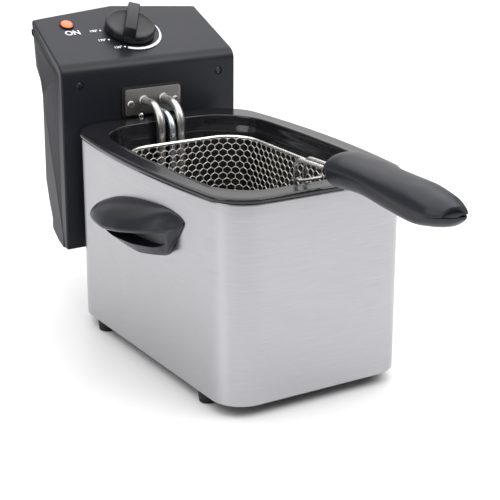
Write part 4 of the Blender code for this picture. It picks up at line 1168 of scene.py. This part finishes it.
# ---- CAD nodes that keep their shape

# The rest keep their CAD shape in plain screw steel.
KEPT = {
    "base_plate": SEAT_PLASTIC,
    "rim_seat": SEAT_PLASTIC,
    "guide_rail_left": SEAT_PLASTIC,
    "guide_rail_right": SEAT_PLASTIC,
    "cord_inlet": RUBBER,
    "microswitch": SEAT_PLASTIC,
    "thermostat": CERAMIC,
    "neon_lamp": CERAMIC,
    "thermal_cutout": CERAMIC,
    "terminal_block": CERAMIC,
    "knob_shaft": BRASS,
    "reset_button": RESET_PLASTIC,
    # The handle screws take the darkened steel, whose dark colour is painted shade under the handles.
    **{f"handle_screw_{side}_{end}": SHADED_SCREW_STEEL for side in ("left", "right") for end in ("front", "rear")},
}


def dress_cad():
    """Gives each CAD node that stays in view its own material."""
    for node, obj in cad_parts.items():
        material = KEPT.get(node, SCREW_STEEL)
        obj.data.materials.clear()
        obj.data.materials.append(material)
        obj.data.shade_smooth()
        obj.data.set_sharp_from_angle(angle=radians(35))


# ---- camera, lights and floor


CAMERA_POSITION = Vector((-550.9, -876.05, 438.8)) * MM
CAMERA_TARGET = Vector((16.65, 34.85, 77.94)) * MM
CAMERA_ROLL = radians(0.37)
LIGHTS = [  # name, position, target, size and power
    ("ceiling", (0.2, 0.4, 2.3), (0.2, 0.4, 0), (5.0, 5.0), 150),
    ("front_high", (0.85, -0.95, 1.2), (0, 0.15, 0.2), (1.1, 0.7), 8),
    ("back_soft", (1.3, 2.6, 0.9), (0, 0, 0.1), (3.0, 1.4), 9),
    ("left_soft", (-1.6, -0.1, 0.8), (0, 0, 0.1), (0.8, 1.0), 6),
]


def aimed(position, target):
    """Matrix of a camera or a light at this position that faces the target."""
    turn = (target - position).to_track_quat("-Z", "Y").to_matrix().to_4x4()
    return Matrix.Translation(position) @ turn


def build_camera():
    """Camera at the photographed view."""
    data = bpy.data.cameras.new("camera")
    data.lens = 102.8
    data.sensor_width = 36
    data.clip_start = 0.05
    camera = add_object("camera", data)
    camera.matrix_world = aimed(CAMERA_POSITION, CAMERA_TARGET) @ Matrix.Rotation(CAMERA_ROLL, 4, "Z")
    bpy.context.scene.camera = camera


def area_light(name, position, target, size, power):
    """White rectangular light."""
    data = bpy.data.lights.new(name, "AREA")
    data.shape = "RECTANGLE"
    data.size, data.size_y = size
    data.energy = power
    add_object(name, data).matrix_world = aimed(Vector(position), Vector(target))


def build_stage():
    """Pale floor, plain world and soft studio lights."""
    world = bpy.data.worlds.new("studio")
    world.use_nodes = True
    background = world.node_tree.nodes["Background"]
    background.inputs["Color"].default_value = (1, 1, 1, 1)
    background.inputs["Strength"].default_value = 0.30
    bpy.context.scene.world = world
    bm = bmesh.new()
    bmesh.ops.create_grid(bm, x_segments=1, y_segments=1, size=6)
    floor = add_object("floor", mesh_from(bm, "floor"))
    made, tree, shader = new_material("floor_white")
    tone = add_noise(tree, 3, 2)
    tint(tree, shader, tone, (0.90, 0.90, 0.905), (0.92, 0.92, 0.925))
    shader.inputs["Roughness"].default_value = 0.35
    floor.data.materials.append(made)
    for light in LIGHTS:
        area_light(*light)
    scene = bpy.context.scene
    scene.view_settings.view_transform = "Standard"
    scene.view_settings.look = "None"


build_camera()
dress_cad()
build_steel()
build_feet()
build_handles()
build_bowl()
build_covers()
build_plate()
build_element()
build_pin()
build_knob()
build_marks()
build_lamp()
build_netting()
build_basket_wires()
build_grip()
build_stage()
